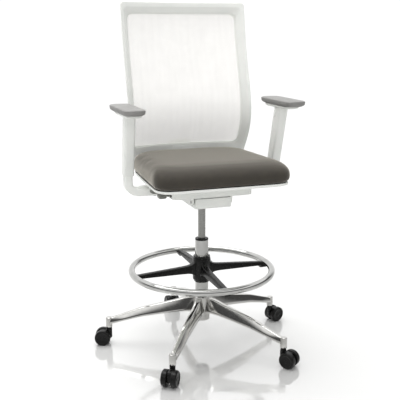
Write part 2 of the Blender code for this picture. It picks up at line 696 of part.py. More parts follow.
def mechanism_housing(material):
    """Open-topped tray whose side walls end in round ears about the back pivot."""
    floor_end = BACK_PIVOT_Y - EAR_RADIUS - 0.005
    front = [(MECH_FRONT, MECH_TOP), (MECH_FRONT, MECH_BOTTOM + 0.013)]
    front += arc((MECH_FRONT + 0.013, MECH_BOTTOM + 0.013), 0.013, 180, 270, 4)[1:]
    ear = arc((BACK_PIVOT_Y, PIVOT_Z), EAR_RADIUS, -80, 90, 8)
    outline = front + [(floor_end, MECH_BOTTOM)] + ear
    half = MECH_HALF_WIDTH
    housing = solid("mechanism_housing", prism_x(outline, -half, half), material, "mechanism")
    inner = half - MECH_WALL
    floor = MECH_BOTTOM + MECH_FLOOR
    cut(housing, box((-inner, MECH_FRONT + MECH_WALL, floor), (inner, BACK_PIVOT_Y + 0.03, MECH_TOP + 0.01)))
    for y in (LUG_FRONT_Y, LUG_REAR_Y):
        low = (LEVER_PIVOT_X - 0.007, y - 0.002, floor - 0.001)
        fuse(housing, box(low, (LEVER_PIVOT_X + 0.007, y + 0.002, MECH_TOP - 0.002)))
    cut(housing, rod((0.0, 0.0, MECH_BOTTOM - 0.01), (0.0, 0.0, floor + 0.01), SOCKET_RADIUS + FIT, 20))
    cut(housing, cross_rod(SEAT_PIVOT_Y, MECH_HALF_WIDTH + 0.02, SEAT_SHAFT + FIT))
    cut(housing, cross_rod(BACK_PIVOT_Y, MECH_HALF_WIDTH + 0.02, BACK_SHAFT + FIT))
    cut(housing, lever_barrel(LUG_FRONT_Y - 0.01, LUG_REAR_Y + 0.007, LEVER_BARREL + FIT))


def mechanism_parts(steel):
    top = MECH_TOP - 0.003
    bottom = MECH_BOTTOM - 0.006
    floor = MECH_BOTTOM + MECH_FLOOR + FIT
    low_bore, high_bore = GAS_RADIUS + FIT, GAS_RADIUS - 0.0006 + FIT
    flange_top = floor + 0.004
    socket = ((low_bore, bottom), (SOCKET_RADIUS, bottom), (SOCKET_RADIUS, floor), (SOCKET_FLANGE, floor),
              (SOCKET_FLANGE, flange_top), (SOCKET_RADIUS, flange_top), (SOCKET_RADIUS, top),
              (high_bore, top))
    solid("taper_socket", turned(socket, 20), steel, "mechanism")

    seat_shaft = cross_rod(SEAT_PIVOT_Y, MECH_HALF_WIDTH + 0.0135, SEAT_SHAFT)
    solid("seat_pivot_shaft", seat_shaft, steel, "mechanism")
    back_shaft = cross_rod(BACK_PIVOT_Y, MECH_HALF_WIDTH + 0.0015, BACK_SHAFT)
    solid("back_pivot_shaft", back_shaft, steel, "mechanism")

    start = SOCKET_FLANGE + 0.006
    end = BACK_PIVOT_Y - EAR_RADIUS - 0.005
    steps = SPRING_TURNS * 8
    coil = []
    for i in range(steps + 1):
        turn = math.tau * i / 8
        y = start + (end - start) * i / steps
        coil.append((SPRING_COIL * math.cos(turn), y, PIVOT_Z - 0.001 + SPRING_COIL * math.sin(turn)))
    solid("tilt_spring", tube_path(coil, SPRING_WIRE, 5), steel, "mechanism")


def lift_lever(plastic):
    """Bent lever over the valve pin; lifting the paddle presses the pin."""
    pivot_z = MECH_BOTTOM + LEVER_PIVOT_RISE
    barrel = lever_barrel(LUG_FRONT_Y - 0.009, LUG_REAR_Y + 0.004, LEVER_BARREL)
    lever = solid("lift_lever", barrel, plastic, "lift_lever")
    finger_z = PIN_TOP + 0.001 + LEVER_RADIUS
    finger = ((0.006, 0.0, finger_z), (-0.024, 0.0, finger_z), (-0.036, 0.0, finger_z - 0.006),
              (LEVER_PIVOT_X, 0.0, pivot_z))
    x, y, rise = LIFT_PADDLE
    z = MECH_BOTTOM + rise
    arm = ((LEVER_PIVOT_X, LUG_FRONT_Y - 0.007, pivot_z), (LEVER_PIVOT_X - 0.002, y + 0.027, pivot_z + 0.004),
           (LEVER_PIVOT_X - 0.008, y + 0.019, pivot_z + 0.013),
           (LEVER_PIVOT_X - 0.015, y + 0.007, pivot_z + 0.0185), (LEVER_PIVOT_X - 0.027, y, z - 0.004),
           (-CARRIER_HALF_WIDTH, y, z - 0.002), (x, y, z))
    fuse(lever, tube_path(finger, LEVER_RADIUS), tube_path(arm, LEVER_RADIUS))
    section = rounded_rectangle(0.014, 0.016, 0.005, 2)
    shapes = ((0.80, -0.0085), (1.0, -0.006), (1.0, 0.006), (0.80, 0.0085))
    paddle = loft([[(x + u * k, y + v * k, z + h) for u, v in section] for k, h in shapes])
    fuse(lever, paddle)


def lock_lever(plastic):
    """Lever on the carrier's side wall that turns to lock the tilt."""
    x, y, rise = LOCK_PADDLE
    z = MECH_BOTTOM + rise
    axis_y = y + LOCK_ROD_BACK
    bar = rod((x, axis_y, z), (-CARRIER_HALF_WIDTH + 0.022, axis_y, z), LEVER_RADIUS, 12)
    lever = solid("tilt_lock_lever", bar, plastic, "lock_lever")
    section = rounded_rectangle(0.016, 0.016, 0.005, 2)
    shapes = ((0.85, -0.0055), (1.0, -0.0035), (1.0, 0.0035), (0.85, 0.0055))
    paddle = loft([[(x + u * k, y + v * k, z + h) for u, v in section] for k, h in shapes])
    cam_x = -CARRIER_HALF_WIDTH + 0.018
    cam = box((cam_x - 0.004, axis_y - 0.008, z - 0.006), (cam_x + 0.004, axis_y + 0.004, z + 0.0045))
    fuse(lever, paddle, cam)


# ---- seat -----------------------------------------------------------------------------
def seat_outline(inset=0.0, corner_steps=5, side_steps=3):
    """Front corners wide, rear corners drawn in; an inset only shrinks the corner arcs."""
    front = Vector((SEAT_HALF_WIDTH - SEAT_FRONT_CORNER, SEAT_FRONT + SEAT_FRONT_CORNER))
    rear = Vector((SEAT_REAR_HALF_WIDTH - SEAT_REAR_CORNER, SEAT_REAR - SEAT_REAR_CORNER))
    line = rear - front
    lean = math.atan2(line.y, line.x) - math.acos((SEAT_FRONT_CORNER - SEAT_REAR_CORNER) / line.length)
    lean = math.degrees(lean)
    right = arc(front, SEAT_FRONT_CORNER - inset, -90, lean, corner_steps)
    back = arc(rear, SEAT_REAR_CORNER - inset, lean, 90, corner_steps)
    for i in range(1, side_steps):
        share = i / side_steps
        right.append((right[corner_steps][0] * (1 - share) + back[0][0] * share,
                      right[corner_steps][1] * (1 - share) + back[0][1] * share))
    right += back
    left = [(-x, y) for x, y in reversed(right)]
    points = []
    for half in (right, left):
        points += half
        (x0, y0), x1 = half[-1], -half[-1][0]
        points += [(x0 + (x1 - x0) * i / side_steps, y0) for i in range(1, side_steps)]
    return points


def seat_carrier(material):
    """Inverted tray over the mechanism: a front cross-piece and two side rails."""
    half, rear = CARRIER_HALF_WIDTH, CARRIER_REAR
    slot = MECH_HALF_WIDTH + 0.0035
    cross_end = SEAT_PIVOT_Y + 0.022
    front = [(-x, y) for x, y in reversed(arc((half - 0.02, MECH_FRONT + 0.02), 0.02, -90, 0, 3))]
    outline = front + arc((half - 0.02, MECH_FRONT + 0.02), 0.02, -90, 0, 3)
    outline += [(half, rear), (slot, rear), (slot, cross_end)]
    outline += [(-slot, cross_end), (-slot, rear), (-half, rear)]
    tray = loft([[(x, y, z) for x, y in outline] for z in (CARRIER_BOTTOM, CARRIER_TOP)])
    carrier = solid("seat_carrier", tray, material, "seat_tilt")
    wall = CARRIER_WALL
    lid = CARRIER_TOP - wall
    below = CARRIER_BOTTOM - 0.01
    lug_room = slot + 0.012
    for side in (-1, 1):
        x0, x1 = sorted((side * lug_room, side * (half - wall)))
        cut(carrier, box((x0, MECH_FRONT + 0.024, below), (x1, rear - wall, lid)))
    cut(carrier, box((-slot, MECH_FRONT + wall, below), (slot, cross_end - wall, lid)))
    lock_y, lock_z = LOCK_PADDLE[1] + LOCK_ROD_BACK, MECH_BOTTOM + LOCK_PADDLE[2]
    cut(carrier, rod((-half - 0.01, lock_y, lock_z), (-half + 0.015, lock_y, lock_z), LEVER_RADIUS + FIT, 12))
    # A slot in the left wall and a notch behind the ear give the lift lever room to swing.
    lift_y, lift_z = LIFT_PADDLE[1], MECH_BOTTOM + LIFT_PADDLE[2] - 0.002
    sweep = LEVER_RADIUS + RUN
    cut(carrier, box((-half - 0.01, lift_y - sweep - 0.0035, lift_z - sweep - 0.004),
                     (-slot + 0.0035, lift_y + 0.012, lift_z + sweep + 0.0075)))
    notch = (-slot + 0.028, cross_end + 0.01, lift_z + 0.004)
    cut(carrier, box((-slot - 0.001, lift_y + 0.001, below), notch))
    for side in (-1, 1):
        x0, x1 = sorted((side * slot, side * (slot + 0.008)))
        ear = arc((SEAT_PIVOT_Y, PIVOT_Z), EAR_RADIUS - 0.003, 180, 360, 6)
        ear += [(y, CARRIER_BOTTOM + 0.002) for y in (ear[-1][0], ear[0][0])]
        fuse(carrier, prism_x(ear, x0, x1))
    cut(carrier, cross_rod(SEAT_PIVOT_Y, slot + 0.02, SEAT_SHAFT + FIT))


def scaled(outline, share):
    """Shrink an outline towards the seat's middle."""
    middle = (SEAT_FRONT + SEAT_REAR) / 2
    return [(x * share, middle + (y - middle) * share) for x, y in outline]


def seat_shell(material):
    """Moulded pan: a flat middle on the carrier that rises to a shallow rim."""
    rim = seat_outline(-SHELL_OVERHANG)
    inside = seat_outline(SHELL_WALL - SHELL_OVERHANG)
    rim_low = SHELL_TOP - SHELL_RIM
    levels = ((scaled(rim, 0.62), SHELL_BOTTOM), (scaled(rim, 0.71), rim_low),
              (scaled(rim, 0.97), rim_low + 0.001), (rim, rim_low + 0.004), (rim, SHELL_TOP),
              (inside, SHELL_TOP),
              (inside, rim_low + 0.005), (scaled(inside, 0.70), rim_low + SHELL_WALL),
              (scaled(inside, 0.61), SHELL_BOTTOM + SHELL_WALL))
    solid("seat_shell", loft([[(x, y, z) for x, y in ring] for ring, z in levels]), material, "seat_tilt")


def seat_cushion(material):
    """Plain pad: upright sides, rounded shoulders and a front that rolls down."""
    rings = []
    for inset, share in CUSHION_LEVELS:
        ring = []
        for x, y in seat_outline(inset):
            near = min(max((SEAT_FRONT + FRONT_ROLL_REACH - y) / FRONT_ROLL_REACH, 0.0), 1.0)
            ease = near * near
            rise = CUSHION_THICKNESS * share * (1 - FRONT_ROLL_DROP * ease * share)
            ring.append((x, y + ease * inset * 0.6, CUSHION_BOTTOM + rise))
        rings.append(ring)
    top = rings[-1]
    centre = (SEAT_FRONT + SEAT_REAR) / 2
    lid = CUSHION_BOTTOM + CUSHION_THICKNESS
    rings.append([(x * 0.7, centre + (y - centre) * 0.7, lid) for x, y, z in top])
    solid("seat_cushion", loft(rings), material, "seat_tilt")


# ---- back -----------------------------------------------------------------------------
def back_surface(x, z):
    """Distance behind the column's axis of the frame's front edge."""
    share = (z - BACK_BOTTOM) / BACK_HEIGHT
    across = min(abs(x) / BACK_HALF_WIDTH, 1.0)
    return smooth_value(BACK_PROFILE, share) + BACK_HOLLOW * (1 - across * across)


def upright_outline(half_width, low, high, corner, corner_steps=3, side_steps=11, rail_steps=6):
    """Rounded upright rectangle as (x, z) points with a fixed count on each stretch."""
    points = []
    corners = (((1, 1), 0), ((-1, 1), 90), ((-1, -1), 180), ((1, -1), 270))
    for (sx, sz), start in corners:
        centre = (sx * (half_width - corner), high - corner if sz > 0 else low + corner)
        points.append(arc(centre, corner, start, start + 90, corner_steps))
    outline = []
    for k, bend in enumerate(points):
        outline += bend
        (x0, z0), (x1, z1) = bend[-1], points[(k + 1) % 4][0]
        steps = rail_steps if k % 2 == 0 else side_steps
        outline += [(x0 + (x1 - x0) * i / steps, z0 + (z1 - z0) * i / steps) for i in range(1, steps)]
    return outline


def back_edge(inward, depth):
    """Loop round the back: inward runs from 0 at the outer edge to 1 at the frame's opening."""
    outer = upright_outline(BACK_HALF_WIDTH, BACK_BOTTOM, BACK_TOP, BACK_OUTER_CORNER)
    inner = upright_outline(BACK_HALF_WIDTH - BACK_STILE, BACK_BOTTOM + BACK_LOW_RAIL,
                            BACK_TOP - BACK_TOP_RAIL, BACK_INNER_CORNER)
    loop = []
    for (xo, zo), (xi, zi) in zip(outer, inner):
        x, z = xo + (xi - xo) * inward, zo + (zi - zo) * inward
        loop.append((x, back_surface(x, z) + depth, z))
    return loop


def back_ring(section):
    """Closed ring round the back from (inward, depth) corners."""
    edges = [back_edge(inward, depth) for inward, depth in section]
    return loft([list(ring) for ring in zip(*edges)], ring_of_rings=True)


def back_frame(material):
    """Moulded ring: a front strip, then a face that slopes back to the opening."""
    section = ((0.0, 0.0), (0.42, 0.001), (1.0, 0.015), (1.0, 0.021),
               (0.40, BACK_DEPTH + 0.004), (0.0, BACK_DEPTH))
    frame = solid("back_frame", back_ring(section), material, "back")
    pad_z = (BACK_BOTTOM + 0.006, BACK_BOTTOM + (MESH_RIM_START - 0.07) * BACK_LOW_RAIL)
    front = back_surface(0.0, pad_z[1]) + BACK_DEPTH
    half = BACK_PAD_HALF_WIDTH
    fuse(frame, box((-half, front, pad_z[0]), (half, SUPPORT_FACE_Y + 0.003 - FIT, pad_z[1])))


def mesh_panel(carrier_material, mesh_material):
    """Slim carrier behind the opening's edge, with the stretched mesh inside it."""
    gap = FIT / BACK_STILE
    near, far = MESH_DEPTH - MESH_RIM_DEPTH / 2, MESH_DEPTH + MESH_RIM_DEPTH / 2
    section = ((MESH_RIM_START, near), (MESH_RIM_END, near), (MESH_RIM_END, far), (MESH_RIM_START, far))
    solid("mesh_carrier", back_ring(section), carrier_material, "back")

    outline = back_edge(MESH_RIM_END + 2 * gap, 0.0)
    middle_z = BACK_BOTTOM + (BACK_LOW_RAIL + BACK_HEIGHT - BACK_TOP_RAIL) / 2
    rings = []
    for offset, order in ((-MESH_THICKNESS / 2, (0.4, 0.75, 1.0)), (MESH_THICKNESS / 2, (1.0, 0.75, 0.4))):
        for share in order:
            ring = []
            for x, _, z in outline:
                px, pz = x * share, middle_z + (z - middle_z) * share
                ring.append((px, back_surface(px, pz) + MESH_DEPTH + offset, pz))
            rings.append(ring)
    solid("back_mesh", loft(rings), mesh_material, "back")


def back_support(material):
    """Bar from the back pivot: a tongue in the housing, then a blade that turns upwards."""
    radius = EAR_RADIUS - 0.0015
    tongue = arc((BACK_PIVOT_Y, PIVOT_Z), radius, 90, 270, 8)
    tongue += [(BACK_PIVOT_Y + 0.040, PIVOT_Z - radius), (BACK_PIVOT_Y + 0.040, PIVOT_Z + radius)]
    half = MECH_HALF_WIDTH - MECH_WALL - RUN
    support = solid("back_support", prism_x(tongue, -half, half), material, "back")

    bend = SUPPORT_BEND
    (wide_low, thick_low), (wide_high, thick_high) = SUPPORT_LOW, SUPPORT_HIGH
    upright_y = SUPPORT_FACE_Y + 0.003 + thick_high / 2
    run_z = PIVOT_Z - 0.004
    start_y = BACK_PIVOT_Y + 0.031
    route = [(start_y, run_z), (start_y + 0.02, run_z)]
    route += arc((upright_y - bend, run_z + bend), bend, -90, 0, 5)
    top = MECH_BOTTOM + SUPPORT_TOP_RISE
    route += [(upright_y, run_z + bend + (top - run_z - bend) * k / 2) for k in (1, 2)]
    lengths = [0.0]
    for (y0, z0), (y1, z1) in zip(route, route[1:]):
        lengths.append(lengths[-1] + math.hypot(y1 - y0, z1 - z0))
    rings = []
    for i, (y, z) in enumerate(route):
        before, after = route[max(i - 1, 0)], route[min(i + 1, len(route) - 1)]
        angle = math.atan2(after[1] - before[1], after[0] - before[0])
        share = lengths[i] / lengths[-1]
        wide = wide_low + (wide_high - wide_low) * share
        thick = thick_low + (thick_high - thick_low) * min(1.0, share * 1.6)
        section = rounded_rectangle(wide, thick / 2, min(0.006, thick / 3), 2)
        normal = (-math.sin(angle), math.cos(angle))
        rings.append([(u, y + normal[0] * v, z + normal[1] * v) for u, v in section])
    fuse(support, loft(rings))
    cut(support, cross_rod(BACK_PIVOT_Y, half + 0.02, BACK_SHAFT + FIT))


# ---- arms -----------------------------------------------------------------------------
def post_centre(z, side):
    """Middle of the leaning post at a height: forwards and slightly outwards going up."""
    rise = z - ELBOW_Z
    return side * (ARM_SPREAD + rise * math.tan(ARM_OUTWARD)), -rise * math.tan(ARM_FORWARD)


def leaning_rings(half_width, half_depth, corner, levels, side, steps=2):
    rings = []
    for z in levels:
        cx, cy = post_centre(z, side)
        section = rounded_rectangle(half_width, half_depth, corner, steps)
        rings.append([(cx + u, cy + v, z) for u, v in section])
    return rings


def arm_bracket(name, side, material):
    """Foot bolted to the carrier's side, an elbow, and the post that the sleeve rides on."""
    half_width, half_depth = POST_WIDTH / 2, POST_DEPTH / 2
    foot_z = ELBOW_Z - 0.0225
    bend = ELBOW_BEND
    bend_x = ARM_SPREAD - bend
    rings = []
    corner = 0.006
    for x, height, depth in ((CARRIER_HALF_WIDTH + FIT, FOOT_HEIGHT + 0.002, FOOT_DEPTH),
                             ((CARRIER_HALF_WIDTH + bend_x) / 2, FOOT_HEIGHT, FOOT_DEPTH * 0.97),
                             (bend_x, FOOT_HEIGHT, FOOT_DEPTH * 0.87)):
        section = rounded_rectangle(depth / 2, height / 2, corner, 2)
        rings.append([(side * x, v, foot_z + w) for v, w in section])
    for k in (1, 2, 3):
        turn = math.radians(22.5 * k)
        x = bend_x + bend * math.sin(turn)
        z = foot_z + bend * (1 - math.cos(turn))
        share = k / 4
        depth = FOOT_DEPTH * 0.87 * (1 - share) + POST_DEPTH * share
        thick = FOOT_HEIGHT * (1 - share) + POST_WIDTH * share
        section = rounded_rectangle(depth / 2, thick / 2, corner, 2)
        rings.append([(side * (x - math.sin(turn) * w), v, z + math.cos(turn) * w) for v, w in section])
    top = MECH_BOTTOM + POST_TOP_RISE
    for z in (foot_z + bend + 0.004, top):
        cx, cy = post_centre(z, side)
        section = rounded_rectangle(half_depth, half_width, corner, 2)
        rings.append([(cx - side * w, cy + v, z) for v, w in section])
    bracket = solid(name, loft(rings), material, "seat_tilt")
    groove = BUTTON_WIDTH / 2 + RUN
    low = MECH_BOTTOM + SLEEVE_BOTTOM_RISE
    ring = []
    for z in (low, top + 0.01):
        cx, cy = post_centre(z, side)
        x0, x1 = cx - side * (half_width + 0.01), cx - side * (half_width - GROOVE_DEPTH)
        y = cy + groove_offset()
        ring.append([(x0, y - groove, z), (x1, y - groove, z), (x1, y + groove, z), (x0, y + groove, z)])
    cut(bracket, loft(ring))


def groove_offset():
    """The button runs near the rear edge of the post's inner face."""
    return POST_DEPTH / 2 - 0.011


def arm_axis(side):
    return Vector((side * math.tan(ARM_OUTWARD), -math.tan(ARM_FORWARD), 1.0)).normalized()


def armrest(suffix, side, shell, soft, drop):
    """Sleeve with its top flange, release button and pad, all lowered along the post."""
    shift = Matrix.Translation(-drop * arm_axis(side))
    outer_w = POST_WIDTH / 2 + RUN + SLEEVE_WALL
    outer_d = POST_DEPTH / 2 + RUN + SLEEVE_WALL
    low, top = MECH_BOTTOM + SLEEVE_BOTTOM_RISE, SLEEVE_TOP
    tube = leaning_rings(outer_w, outer_d, 0.007, (low, top + 0.002), side)
    sleeve = solid("arm_sleeve_" + suffix, moved(loft(tube), shift), shell, "armrest_" + suffix)
    cx, _ = post_centre(top, side)
    plate = rounded_rectangle(0.027, 0.092, 0.012, 2)
    flange = [[(cx + side * 0.003 + u * k, PAD_MIDDLE_Y + v * k, z) for u, v in plate]
              for k, z in ((0.90, top), (1.0, top + 0.003), (1.0, top + FLANGE_HEIGHT))]
    fuse(sleeve, moved(loft(flange), shift))
    room_w, room_d = POST_WIDTH / 2 + RUN, POST_DEPTH / 2 + RUN
    inside = leaning_rings(room_w, room_d, 0.006, (low - 0.02, top - 0.008), side)
    cut(sleeve, moved(loft(inside), shift))

    button_low = top - 0.036
    x_in, x_out = room_w - 0.0005, outer_w + BUTTON_TRAVEL + 0.0003

    def button_block(grow, x0, x1):
        rings = []
        for z in (button_low - grow, button_low + BUTTON_HEIGHT + grow):
            bx, by = post_centre(z, side)
            y = by + groove_offset()
            half = BUTTON_WIDTH / 2 + grow
            rings.append([(bx - side * x0, y - half, z), (bx - side * x1, y - half, z),
                          (bx - side * x1, y + half, z), (bx - side * x0, y + half, z)])
        return moved(loft(rings), shift)

    cut(sleeve, button_block(FIT, x_in - 0.003, x_out + 0.005))
    solid("arm_button_" + suffix, button_block(0.0, x_in, x_out), soft, "arm_button_" + suffix)

    pad_x = cx + side * 0.006
    bottom, thick = PAD_BOTTOM, PAD_THICKNESS
    half_w, half_l = PAD_HALF_WIDTH, PAD_LENGTH / 2
    levels = ((0.012, 0.030, 0.0), (0.0, 0.006, thick * 0.45), (0.0, 0.0, thick * 0.80),
              (0.006, 0.006, thick))
    rings = []
    for inset_w, inset_l, rise in levels:
        ring = rounded_rectangle(half_w - inset_w, half_l - inset_l, 0.020, 4)
        rings.append([(pad_x + u, PAD_MIDDLE_Y + v, bottom + rise) for u, v in ring])
    solid("arm_pad_" + suffix, moved(loft(rings), shift), soft, "armrest_" + suffix)


# ---- assembly -------------------------------------------------------------------------
def place_bodies():
    body("chair")
    BODIES["chair"].location = (0.0, AXIS_Y, 0.0)
    body("base")
    body("seat_swivel", z=TUBE_BOTTOM)
    body("mechanism", z=MECH_BOTTOM)
    body("valve", z=PIN_TOP)
    body("footring_slide", z=RING_HUB_BOTTOM)
    body("footring_turn", z=RING_Z)
    body("footring_knob", z=(RING_HUB_BOTTOM + RING_HUB_TOP) / 2)
    body("back", y=BACK_PIVOT_Y, z=PIVOT_Z)
    body("seat_tilt", y=SEAT_PIVOT_Y, z=PIVOT_Z)
    body("lift_lever", x=LEVER_PIVOT_X, z=MECH_BOTTOM + LEVER_PIVOT_RISE)
    body("lock_lever", y=LOCK_PADDLE[1] + LOCK_ROD_BACK, z=MECH_BOTTOM + LOCK_PADDLE[2])
    for suffix, side in (("left", -1), ("right", 1)):
        x, y = post_centre(SLEEVE_TOP, side)
        body("armrest_" + suffix, x, y, SLEEVE_TOP)
        body("arm_button_" + suffix, x, y, SLEEVE_TOP)


def build_chair():
    clear_scene()
    place_bodies()
    polished = finish("polished_aluminium", "B8B8B6", 0.16, 1.0)
    chrome = finish("chrome", "C9C9C9", 0.05, 1.0)
    steel = finish("steel", "9A9A98", 0.30, 1.0)
    white = finish("white_nylon", "E2E3E0", 0.42)
    black = finish("black_nylon", "262624", 0.45)
    tread = finish("caster_tread", "2C2C2B", 0.50)
    grey = finish("grey_polyurethane", "929190", 0.60)
    lever_grey = finish("grey_plastic", "74766F", 0.50)
    fabric = finish("taupe_fabric", "6B6763", 0.90)
    mesh = finish("white_mesh", "EFEEEC", 0.80)

    base_star(polished)
    column(chrome, black)
    piston(steel)
    gas_cylinder(steel)
    foot_ring(chrome, black)
    for number, angle in enumerate(arm_angles(), start=1):
        caster(number, angle, black, tread, steel)
    mechanism_housing(white)
    mechanism_parts(steel)
    lift_lever(lever_grey)
    lock_lever(lever_grey)
    seat_carrier(white)
    seat_shell(white)
    seat_cushion(fabric)
    back_frame(white)
    mesh_panel(white, mesh)
    back_support(white)
    for suffix, side, drop in (("left", -1, LEFT_ARM_DROP), ("right", 1, 0.0)):
        arm_bracket("arm_bracket_" + suffix, side, white)
        armrest(suffix, side, white, grey, drop)


build_chair()
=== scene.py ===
"""Looks of a drafting chair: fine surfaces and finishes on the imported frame."""

import math

import bmesh
import bpy
import numpy as np
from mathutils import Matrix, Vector


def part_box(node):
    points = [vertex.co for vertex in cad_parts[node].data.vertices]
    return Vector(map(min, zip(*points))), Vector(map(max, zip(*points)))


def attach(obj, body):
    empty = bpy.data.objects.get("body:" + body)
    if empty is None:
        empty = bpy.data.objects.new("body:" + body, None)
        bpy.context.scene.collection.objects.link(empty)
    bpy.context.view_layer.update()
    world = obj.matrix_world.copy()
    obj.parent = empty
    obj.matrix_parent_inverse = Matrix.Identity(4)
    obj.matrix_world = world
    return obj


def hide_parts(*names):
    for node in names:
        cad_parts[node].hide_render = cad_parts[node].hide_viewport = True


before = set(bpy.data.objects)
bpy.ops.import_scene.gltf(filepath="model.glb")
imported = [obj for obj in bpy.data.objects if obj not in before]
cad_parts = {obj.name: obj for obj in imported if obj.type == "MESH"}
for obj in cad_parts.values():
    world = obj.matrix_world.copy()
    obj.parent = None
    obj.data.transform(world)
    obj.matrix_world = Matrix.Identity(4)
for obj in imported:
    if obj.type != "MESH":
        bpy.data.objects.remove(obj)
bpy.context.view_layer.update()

# The column's axis stands at x = 0 and this y. Shapes below are written from that axis.
AXIS_Y = sum(corner.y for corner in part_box("column_tube")) / 2
ORIGIN = np.array((0.0, AXIS_Y, 0.0))
MERGE = 2e-6      # points nearer than this become one
CREASE = 38.0     # degrees between faces past which an edge stays sharp
UP = np.array((0.0, 0.0, 1.0))
NOISE, MATH, RANGE = "ShaderNodeTexNoise", "ShaderNodeMath", "ShaderNodeMapRange"


# ---- materials ------------------------------------------------------------------------
def linear(hex_colour):
    """sRGB hex to linear light, with full alpha."""
    channels = [int(hex_colour[i:i + 2], 16) / 255 for i in (0, 2, 4)]
    return [c / 12.92 if c <= 0.04045 else ((c + 0.055) / 1.055) ** 2.4 for c in channels] + [1.0]


def add(tree, kind, inputs=None, **settings):
    """Adds a node: settings are its properties, inputs are its socket values or links."""
    made = tree.nodes.new(kind)
    for key, value in settings.items():
        setattr(made, key, value)
    for key, value in (inputs or {}).items():
        if isinstance(value, bpy.types.NodeSocket):
            tree.links.new(value, made.inputs[key])
        else:
            made.inputs[key].default_value = value
    return made


def begin(name, **sockets):
    """A new Principled material; returns it with its tree, its shader and Object coordinates."""
    made = bpy.data.materials.new(name)
    made.use_nodes = True
    tree = made.node_tree
    shader = tree.nodes["Principled BSDF"]
    for key, value in sockets.items():
        shader.inputs[key.replace("_", " ")].default_value = value
    return made, tree, shader, add(tree, "ShaderNodeTexCoord").outputs["Object"]


def tint(tree, shader, factor, dark, light):
    """Base colour that runs from one sRGB hex to another as the factor goes from 0.3 to 0.7."""
    ramp = add(tree, "ShaderNodeValToRGB", {"Fac": factor})
    ramp.color_ramp.elements[0].position, ramp.color_ramp.elements[1].position = 0.3, 0.7
    ramp.color_ramp.elements[0].color, ramp.color_ramp.elements[1].color = linear(dark), linear(light)
    tree.links.new(ramp.outputs["Color"], shader.inputs["Base Color"])


def gloss(tree, shader, factor, low, high):
    """Roughness between two values as the factor goes from 0.3 to 0.7."""
    spread = add(tree, RANGE, {"Value": factor, "From Min": 0.3, "From Max": 0.7,
                               "To Min": low, "To Max": high})
    tree.links.new(spread.outputs["Result"], shader.inputs["Roughness"])


def relief(tree, shader, height, depth_mm):
    """Bump of the given depth in millimetres."""
    bump = add(tree, "ShaderNodeBump", {"Height": height, "Distance": depth_mm / 1000, "Strength": 1.0})
    tree.links.new(bump.outputs["Normal"], shader.inputs["Normal"])


def clouds(place, size_mm, detail=2.0):
    """Inputs of a noise whose features are about size_mm wide."""
    return {"Vector": place, "Scale": 1000 / size_mm, "Detail": detail}


def moulded(name, dark, light, low, high, grain_mm, depth_mm, shine=0.5):
    """Injection-moulded nylon: the mould's spark-eroded grain gives a soft, even satin."""
    made, tree, shader, place = begin(name, IOR=1.53, Specular_IOR_Level=shine)
    tint(tree, shader, add(tree, NOISE, clouds(place, 60.0, 3.0)).outputs["Fac"], dark, light)
    gloss(tree, shader, add(tree, NOISE, clouds(place, 14.0, 4.0)).outputs["Fac"], low, high)
    relief(tree, shader, add(tree, NOISE, clouds(place, grain_mm)).outputs["Fac"], depth_mm)
    return made


def polished_aluminium():
    """Cast and buffed aluminium: mirror-like, with soft haze and faint long waves from the wheel."""
    made, tree, shader, place = begin("buffed_cast_aluminium", Metallic=1.0)
    tint(tree, shader, add(tree, NOISE, clouds(place, 35.0, 3.0)).outputs["Fac"], "C4C3C0", "CFCECB")
    gloss(tree, shader, add(tree, NOISE, clouds(place, 9.0, 4.0)).outputs["Fac"], 0.07, 0.14)
    relief(tree, shader, add(tree, NOISE, clouds(place, 26.0, 1.0)).outputs["Fac"], 0.06)
    return made


def chrome():
    """Chromium plating on drawn steel tube: a clean mirror."""
    made, tree, shader, place = begin("chromium_plate", Metallic=1.0)
    tint(tree, shader, add(tree, NOISE, clouds(place, 40.0)).outputs["Fac"], "B4B4B2", "BEBEBC")
    gloss(tree, shader, add(tree, NOISE, clouds(place, 12.0, 3.0)).outputs["Fac"], 0.035, 0.075)
    return made


def ground_steel(name, colour, light, low, high):
    """Turned or ground steel: hair lines round the piece spread its highlight."""
    made, tree, shader, place = begin(name, Metallic=1.0)
    lines = add(tree, "ShaderNodeMapping", {"Vector": place, "Scale": (0.05, 0.05, 1.0)}).outputs["Vector"]
    tint(tree, shader, add(tree, NOISE, clouds(lines, 30.0, 2.0)).outputs["Fac"], colour, light)
    gloss(tree, shader, add(tree, NOISE, clouds(lines, 1.5, 1.0)).outputs["Fac"], low, high)
    return made


def pad_skin():
    """Self-skinned polyurethane foam: a dull, faintly pebbled skin."""
    made, tree, shader, place = begin("moulded_polyurethane_skin", IOR=1.5)
    tint(tree, shader, add(tree, NOISE, clouds(place, 45.0, 3.0)).outputs["Fac"], "7D7C7A", "868583")
    gloss(tree, shader, add(tree, NOISE, clouds(place, 10.0, 3.0)).outputs["Fac"], 0.50, 0.62)
    pebble = add(tree, "ShaderNodeTexVoronoi", {"Vector": place, "Scale": 1000 / 1.1}, feature="SMOOTH_F1")
    relief(tree, shader, pebble.outputs["Distance"], 0.05)
    return made


YARN_PITCH = 0.0016
NET_PITCH = (("X", 0.0024), ("Z", 0.0032))


